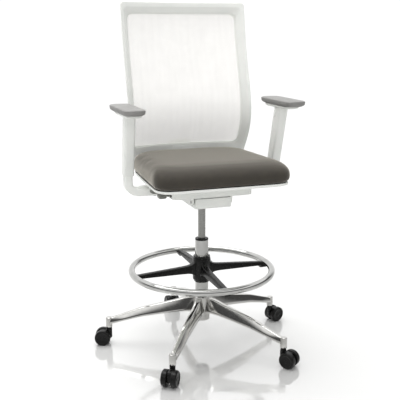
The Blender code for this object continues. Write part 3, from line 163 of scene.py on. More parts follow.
def seat_cloth():
    """Flat-woven taupe upholstery. The yarns are 1 mm apart, drawn 1.6 mm apart so that they show;
    loose fibres catch light that grazes the cloth."""
    made, tree, shader, place = begin("taupe_woven_upholstery", Sheen_Weight=1.0, Sheen_Roughness=0.34,
                                      Sheen_Tint=linear("ECE7DC"), Specular_IOR_Level=0.25)
    parts = add(tree, "ShaderNodeSeparateXYZ", {"Vector": place}).outputs
    yarns = []
    for axis in ("X", "Y", "Z"):
        turns = add(tree, MATH, {0: parts[axis], 1: math.tau / YARN_PITCH}, operation="MULTIPLY")
        yarns.append(add(tree, MATH, {0: turns.outputs[0]}, operation="SINE").outputs[0])
    pair = add(tree, MATH, {0: yarns[0], 1: yarns[1]}, operation="MULTIPLY").outputs[0]
    rib = add(tree, MATH, {0: yarns[2], 1: 0.7, 2: pair}, operation="MULTIPLY_ADD").outputs[0]
    weave = add(tree, RANGE, {"Value": rib, "From Min": -1.5, "From Max": 1.5}).outputs[0]
    fibre = add(tree, NOISE, clouds(place, 0.9, 3.0)).outputs["Fac"]
    mixed = add(tree, MATH, {0: weave, 1: fibre}, operation="ADD").outputs[0]
    height = add(tree, MATH, {0: mixed, 1: 0.5}, operation="MULTIPLY").outputs[0]
    patch = add(tree, NOISE, clouds(place, 30.0, 3.0)).outputs["Fac"]
    cloud = add(tree, MATH, {0: patch, 1: height}, operation="ADD").outputs[0]
    shade_share = add(tree, MATH, {0: cloud, 1: 0.5}, operation="MULTIPLY").outputs[0]
    tint(tree, shader, shade_share, "393632", "444039")
    gloss(tree, shader, fibre, 0.82, 0.95)
    relief(tree, shader, height, 0.18)
    return made


def back_net():
    """White polyester net: upright cords with a cross yarn between them, 2.4 mm drawn for a
    1.2 mm cell; light passes through the cells."""
    made, tree, shader, place = begin("white_polyester_net", Roughness=0.7, Sheen_Weight=0.5)
    parts = add(tree, "ShaderNodeSeparateXYZ", {"Vector": place}).outputs
    bands = []
    for axis, pitch in NET_PITCH:
        turns = add(tree, MATH, {0: parts[axis], 1: math.tau / pitch}, operation="MULTIPLY")
        wave = add(tree, MATH, {0: turns.outputs[0]}, operation="SINE").outputs[0]
        band = add(tree, RANGE, {"Value": wave, "From Min": -1.0, "From Max": 1.0})
        bands.append(band.outputs["Result"])
    knit = add(tree, MATH, {0: bands[0], 1: bands[1]}, operation="MAXIMUM").outputs[0]
    open_cover = add(tree, RANGE, {"Value": knit, "From Min": 0.35, "From Max": 0.75,
                                   "To Min": 0.30, "To Max": 0.74}).outputs["Result"]
    upright = add(tree, "ShaderNodeMapping", {"Vector": place, "Scale": (1.0, 0.2, 0.03)}).outputs["Vector"]
    streak = add(tree, NOISE, clouds(upright, 14.0, 0.0)).outputs["Fac"]
    cover = add(tree, MATH, {0: streak, 1: 0.06, 2: open_cover}, operation="MULTIPLY_ADD")
    tree.links.new(cover.outputs[0], shader.inputs["Alpha"])
    tint(tree, shader, add(tree, NOISE, clouds(place, 50.0, 2.0)).outputs["Fac"], "F5F3EF", "FAF8F4")
    relief(tree, shader, knit, 0.15)
    return made


# Each finish is the record's material slot and the material itself.
WHITE = "white_nylon", moulded("satin_white_nylon", "E3E5E1", "E8E9E5", 0.34, 0.44, 0.5, 0.012)
BLACK = "black_nylon", moulded("black_glass_filled_nylon", "0C0C0B", "131312", 0.22, 0.34, 0.6, 0.02, 0.22)
TREAD = "caster_tread", moulded("black_wheel_nylon", "0D0D0C", "141413", 0.26, 0.38, 0.7, 0.02, 0.22)
LEVER = "grey_plastic", moulded("grey_lever_nylon", "63645F", "6C6D67", 0.40, 0.50, 0.5, 0.02)
ALUMINIUM = "polished_aluminium", polished_aluminium()
CHROME = "chrome", chrome()
CYLINDER = "steel", ground_steel("ground_cylinder_steel", "92928F", "989895", 0.26, 0.30)
STEEL = "steel", ground_steel("turned_steel", "9A9A98", "AAAAA7", 0.26, 0.40)
PAD = "grey_polyurethane", pad_skin()
CLOTH = "taupe_fabric", seat_cloth()
NET = "white_mesh", back_net()


# ---- surfaces -------------------------------------------------------------------------
def rounded(corners, reach, steps=4, ends=False):
    """Softens a polygon's corners, each by a parabola that starts one reach before the corner and
    ends one reach after it. corners is (..., k, d). ends=True leaves an open line's two ends."""
    corners = np.asarray(corners, float)
    reach = np.array(np.broadcast_to(reach, corners.shape[-2]), float)
    if ends:
        reach[[0, -1]] = 0.0
    before, after = (np.roll(corners, turn, axis=-2) - corners for turn in (1, -1))
    t = np.linspace(0.0, 1.0, steps + 1)[:, None]
    sides = []
    for way in (before, after):
        length = np.linalg.norm(way, axis=-1, keepdims=True)
        length = np.maximum(length, 1e-9)
        sides.append(corners + way / length * np.minimum(reach[:, None], 0.48 * length))
    start, end = (side[..., None, :] for side in sides)
    curve = (1 - t) ** 2 * start + 2 * t * (1 - t) * corners[..., None, :] + t * t * end
    return curve.reshape(*corners.shape[:-2], -1, corners.shape[-1])


def even(path, count, closed=False):
    """The same line with points at equal distances along it."""
    path = np.asarray(path, float)
    if closed:
        path = np.concatenate((path, path[:1]))
    run = np.concatenate(([0.0], np.cumsum(np.linalg.norm(np.diff(path, axis=0), axis=1))))
    at = np.linspace(0.0, run[-1], count + 1)[:-1] if closed else np.linspace(0.0, run[-1], count)
    return np.stack([np.interp(at, run, column) for column in path.T], axis=1)


def box_section(half_u, half_v, corner, steps=4):
    """Rounded rectangle about the origin."""
    corners = ((half_u, half_v), (-half_u, half_v), (-half_u, -half_v), (half_u, -half_v))
    return rounded(corners, corner, steps)


def skin(points, wrap=True, loop=False, caps=True):
    """Faces over a grid of m rings of n points. wrap closes each ring, loop joins the last ring
    to the first, and caps fills the two end rings."""
    points = np.asarray(points)
    m, n = points.shape[:2]
    index = np.arange(m * n).reshape(m, n)
    rows = np.concatenate((index, index[:1])) if loop else index
    grid = np.concatenate((rows, rows[:, :1]), axis=1) if wrap else rows
    quads = np.stack((grid[:-1, :-1], grid[:-1, 1:], grid[1:, 1:], grid[1:, :-1]), axis=-1).reshape(-1, 4)
    faces = quads.tolist()
    if wrap and caps and not loop:
        faces += [index[0].tolist(), index[-1].tolist()]
    return points.reshape(-1, 3), faces


def turned(profile, centre=(0.0, 0.0, 0.0), axis=(0.0, 0.0, 1.0), sides=64, lobes=0, wave=0.0):
    """A (radius, height) line turned about an axis through centre. With lobes, each radius is
    multiplied by 1 + wave times the cosine of lobes times the angle."""
    up = np.array(Vector(axis).normalized())
    first = np.array(Vector(axis).orthogonal().normalized())
    angle = np.arange(sides) * math.tau / sides
    ring = np.cos(angle)[:, None] * first + np.sin(angle)[:, None] * np.cross(up, first)
    ring = ring * (1.0 + wave * np.cos(lobes * angle))[:, None]
    radius, height = np.asarray(profile, float).T[:, :, None, None]
    return skin(np.asarray(centre) + radius * ring + height * up, caps=False)


def swept(section, path, up=(0.0, 0.0, 1.0)):
    """A section, (k, 2) or one per path point, carried along a path. Its first direction is
    square to the path and to up, and its second is square to both."""
    path = np.asarray(path, float)
    ahead = np.gradient(path, axis=0)
    ahead /= np.linalg.norm(ahead, axis=1, keepdims=True)
    side = np.cross(ahead, up)
    side /= np.linalg.norm(side, axis=1, keepdims=True)
    rise = np.cross(side, ahead)
    section = np.broadcast_to(section, (len(path),) + np.shape(section)[-2:])
    return skin(path[:, None] + section[..., :1] * side[:, None] + section[..., 1:] * rise[:, None])


def arc(centre, radius, angle):
    """Points on a circle at the given angles."""
    return np.stack((centre[0] + radius * np.cos(angle), centre[1] + radius * np.sin(angle)), axis=1)


def circle(radius, count=20):
    """Points at equal angles on a circle about the origin."""
    return arc((0.0, 0.0), radius, np.arange(count) * math.tau / count)


def rod(start, end, radius, ease=0.0008, sides=32):
    """Round bar between two points with eased ends."""
    start, end = np.asarray(start, float), np.asarray(end, float)
    length = np.linalg.norm(end - start)
    profile = rounded(((0, 0), (radius, 0), (radius, length), (0, length)), ease, 3, ends=True)
    return turned(profile, start, end - start, sides)


def spoke(angle):
    """Unit directions outwards and square to it, both level."""
    c, s = math.cos(angle), math.sin(angle)
    return np.array((c, s, 0.0)), np.array((-s, c, 0.0))


def standing(points, angle, x, y):
    """Turns (x, y, z) points about the vertical and moves them to x, y."""
    c, s = math.cos(angle), math.sin(angle)
    turn = np.array(((c, -s, 0.0), (s, c, 0.0), (0.0, 0.0, 1.0)))
    return points @ turn.T + (x, y, 0.0)


def linked(name, data):
    """A new object in the scene."""
    obj = bpy.data.objects.new(name, data)
    bpy.context.scene.collection.objects.link(obj)
    return obj


def shade(mesh, sharp=CREASE):
    """Smooth shading, with edges sharp past an angle in degrees."""
    mesh.shade_smooth()
    mesh.set_sharp_from_angle(angle=math.radians(sharp))


def make_object(name, vertices, faces, sharp=CREASE):
    """A smooth-shaded mesh object with merged poles and outward faces."""
    mesh = bpy.data.meshes.new(name)
    mesh.from_pydata(vertices, [], faces)
    bm = bmesh.new()
    bm.from_mesh(mesh)
    bmesh.ops.remove_doubles(bm, verts=bm.verts, dist=MERGE)
    bmesh.ops.dissolve_degenerate(bm, edges=bm.edges, dist=1e-7)
    bmesh.ops.recalc_face_normals(bm, faces=bm.faces)
    bm.to_mesh(mesh)
    bm.free()
    shade(mesh, sharp)
    return linked(name, mesh)


def piece(name, body, finish, *skins, nodes=(), sharp=CREASE):
    """Joins skins written from the column's axis into one piece that rides on a body."""
    vertices, faces, count = [], [], 0
    for points, quads in skins:
        vertices.append(points + ORIGIN)
        faces += [[index + count for index in face] for face in quads]
        count += len(points)
    obj = make_object(name, np.concatenate(vertices), faces, sharp)
    return dress(obj, body, finish, nodes)


def dress(obj, body, finish, nodes=()):
    """Gives a piece its finish's material and its body, and hides the CAD nodes that it stands for."""
    obj.data.materials.clear()
    slot, material = finish
    obj.data.materials.append(material)
    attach(obj, body)
    if nodes:
        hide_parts(*nodes)
    return obj


def eased(node, body, finish, width=0.0008):
    """A machined or moulded piece: its CAD solid, merged, with every edge slightly rounded."""
    bm = bmesh.new()
    bm.from_mesh(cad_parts[node].data)
    bmesh.ops.remove_doubles(bm, verts=bm.verts, dist=MERGE)
    bmesh.ops.dissolve_limit(bm, angle_limit=math.radians(0.5), verts=bm.verts, edges=bm.edges)
    mesh = bpy.data.meshes.new("eased_" + node)
    bm.to_mesh(mesh)
    bm.free()
    shade(mesh)
    obj = linked("eased_" + node, mesh)
    bevel = obj.modifiers.new("ease", "BEVEL")
    bevel.width = width
    bevel.segments = 2
    bevel.limit_method = "ANGLE"
    bevel.angle_limit = math.radians(CREASE)
    return dress(obj, body, finish, [node])


# ---- star base and casters --------------------------------------------------------------
CASTER_CIRCLE = 0.3553
TIP_TOP, STAR_RISE = 0.106, 0.086
ARM_ANGLES = [math.pi / 2 + math.tau * k / 5 for k in range(5)]
# Along an arm: share of the caster circle, top and bottom as shares of the rise from the tip
# to the hub, half width of the ridge, half width of the foot.
ARM_LINE = np.array((
    (0.080, 0.990, 0.340, 0.0100, 0.0185),
    (0.165, 0.970, 0.370, 0.0090, 0.0240),
    (0.260, 0.850, 0.350, 0.0085, 0.0225),
    (0.450, 0.670, 0.240, 0.0080, 0.0210),
    (0.645, 0.490, 0.120, 0.0075, 0.0195),
    (0.836, 0.210, -0.080, 0.0072, 0.0175),
    (0.980, 0.000, -0.260, 0.0070, 0.0130),
))


def blended(at, stations, values, reach=0.045):
    """Straight runs between stations, each point averaged with its neighbours within reach."""
    offsets = np.linspace(-reach, reach, 11)
    return np.interp(at[:, None] + offsets, stations, values).mean(axis=1)


def ease_in(value, start, end):
    """0 before start, 1 after end, and 3t^2 - 2t^3 between them."""
    t = np.clip((value - start) / (end - start), 0.0, 1.0)
    return t * t * (3 - 2 * t)


def star_arm(angle):
    """Rings along the arm: a ridge, two flanks, an upright lip and, below, an open channel."""
    at = np.linspace(0.080, 0.985, 60)
    top, bottom, ridge, foot = (blended(at, ARM_LINE[:, 0], ARM_LINE[:, k]) for k in (1, 2, 3, 4))
    top, low = TIP_TOP + STAR_RISE * top, TIP_TOP + STAR_RISE * bottom
    open_part = ease_in(at, 0.17, 0.22) * (1 - ease_in(at, 0.80, 0.85))
    roof = low + (top - 0.006 - low) * open_part
    wall, lip = foot - 0.0035, low + 0.006
    inner = ridge - 0.002
    half = ((foot, low), (foot, lip), (ridge, top))
    hollow = ((-wall, low), (-inner, roof), (inner, roof), (wall, low))
    outline = half + tuple((-u, v) for u, v in half[::-1]) + hollow
    corners = np.stack([np.stack(corner, 1) for corner in outline], axis=1)
    section = rounded(corners, (0.0012, 0.006, 0.0035, 0.0035, 0.006, 0.0012, 0.001, 0.003, 0.003, 0.001), 4)
    out, side = spoke(angle)
    return skin((at * CASTER_CIRCLE)[:, None, None] * out + section[..., :1] * side + section[..., 1:] * UP)


def star_base():
    """Turned hub with a collar, five arms, and a turned boss over each caster's stem."""
    hub = rounded(((0.0256, 0.101), (0.0305, 0.101), (0.0305, 0.128), (0.034, 0.134), (0.034, 0.192),
                   (0.0325, 0.195), (0.0256, 0.195)), (0, 0.0015, 0.006, 0.006, 0.003, 0.002, 0), 4,
                  ends=True)
    skins = [turned(hub, sides=96)]
    boss = rounded(((0.0, 0.070), (0.0125, 0.070), (0.0125, 0.108), (0.0, 0.108)), (0, 0.001, 0.004, 0), 5,
                   ends=True)
    for angle in ARM_ANGLES:
        skins += [star_arm(angle), turned(boss, CASTER_CIRCLE * spoke(angle)[0], sides=48)]
    piece("polished_star", "base", ALUMINIUM, *skins, nodes=["base_star"], sharp=50)


def caster(number, angle):
    """Twin-wheel caster, written with x outwards along its arm, then stood under the arm's tip."""
    body = "caster_%d" % number
    x, y = CASTER_CIRCLE * math.cos(angle), CASTER_CIRCLE * math.sin(angle)
    trail, radius, half, inner = 0.025, 0.030, 0.0068, 0.0074

    def stood(shape):
        """The shape under its arm's tip."""
        return standing(shape[0], angle, x, y), shape[1]

    neck = rounded(((0.0, 0.050), (0.0105, 0.050), (0.0105, 0.0685), (0.0, 0.0685)), (0, 0, 0.0015, 0), 4,
                   ends=True)
    turn = np.radians(np.linspace(112, -37, 40))
    reach = radius - 0.0022 - 0.0095 * (1 - ease_in(turn, math.radians(15), math.radians(80)))
    web = arc((trail, radius), reach, turn)
    outline = np.concatenate((((-0.0105, 0.030), (-0.0105, 0.0605), (0.004, 0.0605)), web,
                              ((trail - 0.022, 0.0125),)))
    middle = outline.mean(axis=0)
    rings = []
    for share, across in ((0.955, -half), (1.0, -half + 0.0015), (1.0, half - 0.0015), (0.955, half)):
        flat = middle + (outline - middle) * share
        rings.append(np.stack((flat[:, 0], np.full(len(flat), across), flat[:, 1]), axis=1))
    piece("caster_hood_%d" % number, body, BLACK, stood(turned(neck, sides=48)),
          stood(skin(rings)), nodes=[body + "_hood"])

    wide = 0.0205
    wheel = rounded(((0.0, wide - 0.0012), (0.0075, wide - 0.0012), (0.0085, wide - 0.003),
                     (0.0195, wide - 0.0016), (0.0215, wide), (0.0255, wide),
                     (radius - 0.0004, wide - 0.0035), (radius, wide - 0.006), (radius, 0.0016),
                     (radius - 0.003, 0.0), (0.0045, 0.0)),
                    (0, 0.001, 0.001, 0.001, 0.001, 0.0012, 0.001, 0.002, 0.0012, 0.001, 0), 4, ends=True)
    for side, sign in (("left", -1.0), ("right", 1.0)):
        shape = turned(wheel, (trail, sign * inner, radius), (0.0, sign, 0.0), 72)
        name = "%s_wheel_%s" % (body, side)
        piece("wheel_%d_%s" % (number, side), name, TREAD, stood(shape), nodes=[name])
    for node in ("_stem", "_axle"):
        eased(body + node, body, STEEL, 0.0004)


# ---- column and foot ring -----------------------------------------------------------------
def column():
    """Chromed tube, the bush in its mouth and the gas cylinder: three turned profiles."""
    tube = rounded(((0.0235, 0.108), (0.0238, 0.1055), (0.025, 0.192), (0.025, 0.415), (0.0235, 0.415),
                    (0.0235, 0.192)), (0, 0.0003, 0.01, 0.0006, 0.0006, 0), 4, ends=True)
    piece("chromed_column_tube", "base", CHROME, turned(tube, sides=128), nodes=["column_tube"])
    bush = rounded(((0.0143, 0.3353), (0.0232, 0.3353), (0.0232, 0.4153), (0.025, 0.4153), (0.025, 0.4195),
                    (0.0235, 0.4213), (0.0143, 0.4213)), (0, 0.001, 0, 0.0003, 0.0015, 0.001, 0), 4,
                   ends=True)
    piece("column_guide_bush", "base", BLACK, turned(bush, sides=96), nodes=["column_bush"])
    low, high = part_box("gas_cylinder")
    cylinder = rounded(((0.0056, low.z), (0.014, low.z), (0.014, 0.553), (0.0133, 0.597), (0.0130, high.z),
                        (0.0078, high.z)), (0, 0.001, 0.012, 0.0005, 0.0006, 0), 4, ends=True)
    piece("gas_lift_cylinder", "mechanism", CYLINDER, turned(cylinder, sides=96),
          nodes=["gas_cylinder"])


RING_RADIUS, RING_TUBE, RING_Z = 0.2637, 0.0125, 0.298


def foot_ring():
    """Bent tube: a circle of the tube's radius carried round the ring's circle."""
    turn = np.arange(200) * math.tau / 200
    small = circle(RING_TUBE, 36)
    out = np.stack((np.cos(turn), np.sin(turn), np.zeros(200)), axis=1)
    points = out[:, None] * (RING_RADIUS + small[None, :, :1]) + (small[None, :, 1:] + RING_Z) * UP
    piece("chromed_foot_ring", "footring", CHROME, skin(points, loop=True), nodes=["footring_ring"])

    hub = rounded(((0.0292, 0.258), (0.031, 0.258), (0.034, 0.262), (0.034, 0.338), (0.0322, 0.346),
                   (0.0292, 0.346)), (0, 0.001, 0.003, 0.006, 0.001, 0), 5, ends=True)
    skins = [turned(hub, sides=96)]
    at = np.concatenate((np.linspace(0.0305, 0.075, 16), np.linspace(0.085, RING_RADIUS - 0.0095, 18)))
    along = (at - 0.030) / (RING_RADIUS - 0.0095 - 0.030)
    flare = np.exp(-(at - 0.0305) / 0.010)
    half = 0.0150 - 0.0015 * along + 0.003 * flare
    top = 0.318 - 0.016 * along + 0.012 * flare
    bottom = 0.289 - 0.012 * flare
    for quarter in range(4):
        out, side = spoke(math.pi / 2 * quarter)
        corners = np.stack((np.stack((half, bottom), 1), np.stack((half * 0.72, top), 1),
                            np.stack((-half * 0.72, top), 1), np.stack((-half, bottom), 1)), axis=1)
        section = rounded(corners, 0.004, 4)
        skins.append(skin(at[:, None, None] * out + section[..., :1] * side + section[..., 1:] * UP))
        run = np.linspace(RING_RADIUS - 0.026, RING_RADIUS + 0.001, 8)
        skins.append(swept(box_section(0.0115, 0.0045, 0.003), run[:, None] * out + 0.2853 * UP))
    out = spoke(math.pi / 4)[0]
    middle = np.array((0.0, 0.0, 0.302))
    skins.append(rod(middle + out * 0.030, middle + out * 0.0465, 0.010))
    piece("foot_ring_hub", "footring", BLACK, *skins, nodes=["footring_hub"], sharp=50)

    knob = rounded(((0.0, 0.0472), (0.016, 0.0472), (0.019, 0.050), (0.019, 0.060), (0.0155, 0.0631),
                    (0.0, 0.0631)), (0, 0.001, 0.002, 0.002, 0.002, 0), 4, ends=True)
    screw = rounded(((0.0, 0.0295), (0.004, 0.0295), (0.004, 0.048)), 0.0, 2, ends=True)
    piece("clamp_knob", "footring_knob", BLACK,
          turned(knob, middle, out, 120, lobes=10, wave=0.035), turned(screw, middle, out, 32),
          nodes=["footring_knob"])
    bush = rounded(((0.0253, 0.252), (0.0285, 0.252), (0.0288, 0.346), (0.0318, 0.3463), (0.0318, 0.352),
                    (0.0253, 0.352)), (0, 0.001, 0, 0.0005, 0.001, 0.0006), 3)
    piece("foot_ring_bush", "footring_sleeve", BLACK,
          turned(np.concatenate((bush, bush[:1])), sides=96), nodes=["footring_bush"])


# ---- seat -----------------------------------------------------------------------------
SEAT_FRONT, SEAT_REAR, HALF_FRONT, HALF_REAR = -0.270, 0.200, 0.2513, 0.2235
CUSHION_LOW, CUSHION_HIGH = 0.6648, 0.7348


def seat_outline(inset, count=220, front=0.070, rear=0.098):
    """Tapering rectangle with soft corners, drawn in by an inset."""
    corners = np.array(((HALF_FRONT - inset, SEAT_FRONT + inset), (HALF_REAR - inset, SEAT_REAR - inset),
                        (-HALF_REAR + inset, SEAT_REAR - inset), (-HALF_FRONT + inset, SEAT_FRONT + inset)))
    return even(rounded(corners, (front, rear, rear, front), 24), count, closed=True)


def seat_shell():
    """Moulded pan: rings that run from the flat middle out under the cushion and up the rim."""
    profile = rounded(((0.62, 0.6353), (0.71, 0.6525), (0.968, 0.6535), (1.0, 0.6570), (1.0, 0.6645),
                       (0.984, 0.6645), (0.980, 0.6575), (0.70, 0.6563), (0.61, 0.6393)),
                      (0, 0.05, 0.02, 0.004, 0.0006, 0.0006, 0.004, 0.05, 0), 5, ends=True)
    outline = seat_outline(0.0050)
    middle = np.array((0.0, (SEAT_FRONT + SEAT_REAR) / 2))
    flat = middle + (outline - middle)[None] * profile[:, :1, None]
    points = np.concatenate((flat, np.broadcast_to(profile[:, 1:, None], flat.shape[:2] + (1,))), axis=2)
    piece("moulded_seat_shell", "seat", WHITE, skin(points), nodes=["seat_shell"])


def cushion_rings():
    """Upright sides that roll over in a wide curve to a gently crowned top; the front rolls
    down lower than the rear."""
    low, high = CUSHION_LOW, CUSHION_HIGH - CUSHION_LOW
    side = rounded(((0.030, 0.0), (0.004, 0.0), (0.0, 0.008), (0.0, 0.046), (0.020, 0.064), (0.060, 0.0685)),
                   (0, 0.005, 0.006, 0.024, 0.016, 0), 6, ends=True)
    rings = []
    for inset, height in side:
        flat = seat_outline(inset)
        near = np.clip((SEAT_FRONT + 0.13 - flat[:, 1]) / 0.13, 0.0, 1.0) ** 2
        share = height / high
        rise = height * (1 - 0.17 * near * share)
        rings.append(np.column_stack((flat[:, 0], flat[:, 1] + near * inset * 0.5, low + rise)))
    middle = np.array((0.0, (SEAT_FRONT + SEAT_REAR) / 2 + 0.01, low + high + 0.0005))
    top = rings[-1]
    for share in (0.8, 0.6, 0.4, 0.2, 0.02):
        ring = middle + (top - middle) * share
        ring[:, 2] = middle[2] + (top[:, 2] - middle[2]) * share ** 2
        rings.append(ring)
    return np.array(rings)


def read_points(mesh):
    """A mesh's points as an (n, 3) array."""
    flat = np.empty(len(mesh.vertices) * 3)
    mesh.vertices.foreach_get("co", flat)
    return flat.reshape(-1, 3)


def inflate(obj, voxel, pressure, cap, floor):
    """Swells a closed pad: remeshed, then simulated as cloth under inner pressure. No point moves
    more than cap, and none goes below the surface that the pad is fixed to."""
    bpy.context.view_layer.objects.active = obj
    remesh = obj.modifiers.new("remesh", "REMESH")
    remesh.mode, remesh.voxel_size = "VOXEL", voxel
    graph = bpy.context.evaluated_depsgraph_get()
    mesh = bpy.data.meshes.new_from_object(obj.evaluated_get(graph))
    obj.modifiers.clear()
    obj.data = mesh
    rest = read_points(mesh)
    cloth = obj.modifiers.new("cloth", "CLOTH")
    cloth.settings.use_pressure = True
    cloth.settings.uniform_pressure_force = pressure
    cloth.settings.tension_stiffness = cloth.settings.compression_stiffness = 40
    cloth.settings.bending_stiffness = 2.0
    cloth.settings.effector_weights.gravity = 0.0
    cloth.point_cache.frame_start, cloth.point_cache.frame_end = 1, 20
    for frame_number in range(1, 21):
        bpy.context.scene.frame_set(frame_number)
    graph = bpy.context.evaluated_depsgraph_get()
    swollen = bpy.data.meshes.new_from_object(obj.evaluated_get(graph))
    step = read_points(swollen) - rest
    length = np.maximum(np.linalg.norm(step, axis=1, keepdims=True), 1e-9)
    step *= np.minimum(1.0, cap / length)
    settled = rest + step
    before, after = np.ptp(rest, axis=0), np.ptp(settled, axis=0)
    middle = (rest.max(axis=0) + rest.min(axis=0)) / 2
    settled[:, :2] = middle[:2] + (settled[:, :2] - middle[:2]) * (before / after)[:2]
    settled[:, 2] = np.clip(settled[:, 2], floor, rest[:, 2].max() + 0.001)
    obj.modifiers.clear()
    mesh.vertices.foreach_set("co", settled.ravel())
    mesh.update()
    bpy.context.scene.frame_set(1)
    return obj


def relax(obj, rounds, share=0.5):
    """Evens out the remesh's small steps by averaging each point with its neighbours."""
    mesh = obj.data
    count = len(mesh.vertices)
    edges = np.empty(len(mesh.edges) * 2, int)
    mesh.edges.foreach_get("vertices", edges)
    a, b = edges.reshape(-1, 2).T
    degree = np.bincount(np.concatenate((a, b)), minlength=count)[:, None]
    points = read_points(mesh)
    for _ in range(rounds):
        total = np.stack([np.bincount(a, points[b, k], count) + np.bincount(b, points[a, k], count)
                          for k in range(3)], axis=1)
        points = points * (1 - share) + total / degree * share
    mesh.vertices.foreach_set("co", points.ravel())
    mesh.update()
    mesh.shade_smooth()


def seat_cushion():
    """Seat pad: the rings of its rest shape, swollen and relaxed."""
    points, faces = skin(cushion_rings())
    obj = make_object("upholstered_seat", points + ORIGIN, faces, 180)
    inflate(obj, 0.005, 4.0, 0.004, CUSHION_LOW)
    relax(obj, 16)
    smooth = obj.modifiers.new("smooth", "SUBSURF")
    smooth.levels = smooth.render_levels = 1
    dress(obj, "seat", CLOTH, ["seat_cushion"])


# ---- back -----------------------------------------------------------------------------
BACK_LOW, BACK_HIGH, BACK_HALF = 0.700, 1.281, 0.2430
STILE, TOP_RAIL, LOW_RAIL, HOLLOW = 0.028, 0.040, 0.045, 0.045
# Side view of the back: share of its height, distance behind the column's axis.
BACK_LINE = np.array(((0.000, 0.190), (0.062, 0.165), (0.130, 0.139), (0.240, 0.114), (0.340, 0.111),
                      (0.450, 0.124), (0.568, 0.144), (0.775, 0.176), (1.000, 0.199)))


def back_surface(x, z):
    """Front face of the back: its side line, plus a parabola across that is deepest in the
    middle."""
    share = (z - BACK_LOW) / (BACK_HIGH - BACK_LOW)
    spline = catmull(BACK_LINE, share)
    return spline + HOLLOW * (1 - np.minimum(np.abs(x) / BACK_HALF, 1.0) ** 2)


def catmull(table, at):
    """Catmull-Rom curve through a table's points, whose slopes are those between neighbours."""
    xs, ys = table.T
    slope = np.gradient(ys, xs)
    at = np.clip(at, xs[0], xs[-1])
    k = np.clip(np.searchsorted(xs, at) - 1, 0, len(xs) - 2)
    width = xs[k + 1] - xs[k]
    t = (at - xs[k]) / width
    return ((2 * t ** 3 - 3 * t ** 2 + 1) * ys[k] + (t ** 3 - 2 * t ** 2 + t) * width * slope[k]
            + (3 * t ** 2 - 2 * t ** 3) * ys[k + 1] + (t ** 3 - t ** 2) * width * slope[k + 1])


def upright_outline(half, low, high, corner):
    """Upright rounded rectangle: each corner an arc, with a fixed count on each stretch."""
    turn = np.radians(np.linspace(0, 90, 13))
    line = []
    for k, (sx, sz) in enumerate(((1, 1), (-1, 1), (-1, -1), (1, -1))):
        centre = (sx * (half - corner), high - corner if sz > 0 else low + corner)
        line.append(arc(centre, corner, turn + k * math.pi / 2))
    full = []
    for k, bend in enumerate(line):
        following = line[(k + 1) % 4][0]
        steps = 40 if k % 2 == 0 else 60
        share = np.linspace(0, 1, steps + 1)[1:-1, None]
        full += [bend, bend[-1] + (following - bend[-1]) * share]
    return np.concatenate(full)


def back_loops(section):
    """Loops round the back, one for each (inward, depth): inward runs from 0 at the outer edge
    to 1 at the opening, and depth is measured behind the front face."""
    outer = upright_outline(BACK_HALF, BACK_LOW, BACK_HIGH, 0.012)
    inner = upright_outline(BACK_HALF - STILE, BACK_LOW + LOW_RAIL, BACK_HIGH - TOP_RAIL, 0.020)
    inward, depth = np.asarray(section, float).T[:, :, None]
    x, z = (outer[:, k] + (inner[:, k] - outer[:, k]) * inward for k in (0, 1))
    return np.stack((x, back_surface(x, z) + depth, z), axis=2)


def softened(section, reach):
    """Rounds a section's corners, given with inward as a share of the stile's width."""
    scale = np.array((STILE, 1.0))
    return rounded(np.asarray(section) * scale, reach, 4) / scale


def back_frame():
    """Faceted section carried round the back, the pad that takes the bar, and the strip behind
    the opening that holds the net."""
    section = softened(((0.0, 0.0), (0.42, 0.001), (1.0, 0.015), (1.0, 0.021), (0.40, 0.016), (0.0, 0.012)),
                       (0.0022, 0.0012, 0.0015, 0.0015, 0.002, 0.0025))
    loops = back_loops(section).transpose(1, 0, 2)
    front = float(back_surface(np.array(0.0), np.array(0.737))) + 0.012
    pad = np.array([[(x, y, z) for x, z in box_section(0.045 * s, 0.0155 * s, 0.004) + (0.0, 0.7218)]
                    for y, s in ((front - 0.004, 1.0), (0.2495, 1.0), (0.2502, 0.975))])
    piece("moulded_back_frame", "back", WHITE, skin(loops, loop=True), skin(pad),
          nodes=["back_frame"], sharp=50)
    strip = softened(((0.90, 0.0225), (1.08, 0.0225), (1.08, 0.0285), (0.90, 0.0285)), 0.0015)
    piece("mesh_carrier_strip", "back", WHITE,
          skin(back_loops(strip).transpose(1, 0, 2), loop=True), nodes=["mesh_carrier"], sharp=50)


def back_mesh():
    """Stretched net: the back's own hollow surface, 25 mm behind the frame's front edge."""
    x = np.linspace(-1.0, 1.0, 97)
    z = np.linspace(0.0, 1.0, 121)
    half = BACK_HALF - STILE * 1.075
    low, high = BACK_LOW + LOW_RAIL * 1.075, BACK_HIGH - TOP_RAIL * 1.075
    gx, gz = np.meshgrid(x * half, low + (high - low) * z)
    points = np.stack((gx, back_surface(gx, gz) + 0.0255, gz), axis=2)
    vertices, faces = skin(points, wrap=False)
    mesh = bpy.data.meshes.new("stretched_net")
    mesh.from_pydata(vertices + ORIGIN, [], faces)
    mesh.shade_smooth()
    obj = linked("stretched_net", mesh)
    dress(obj, "back", NET, ["back_mesh"])


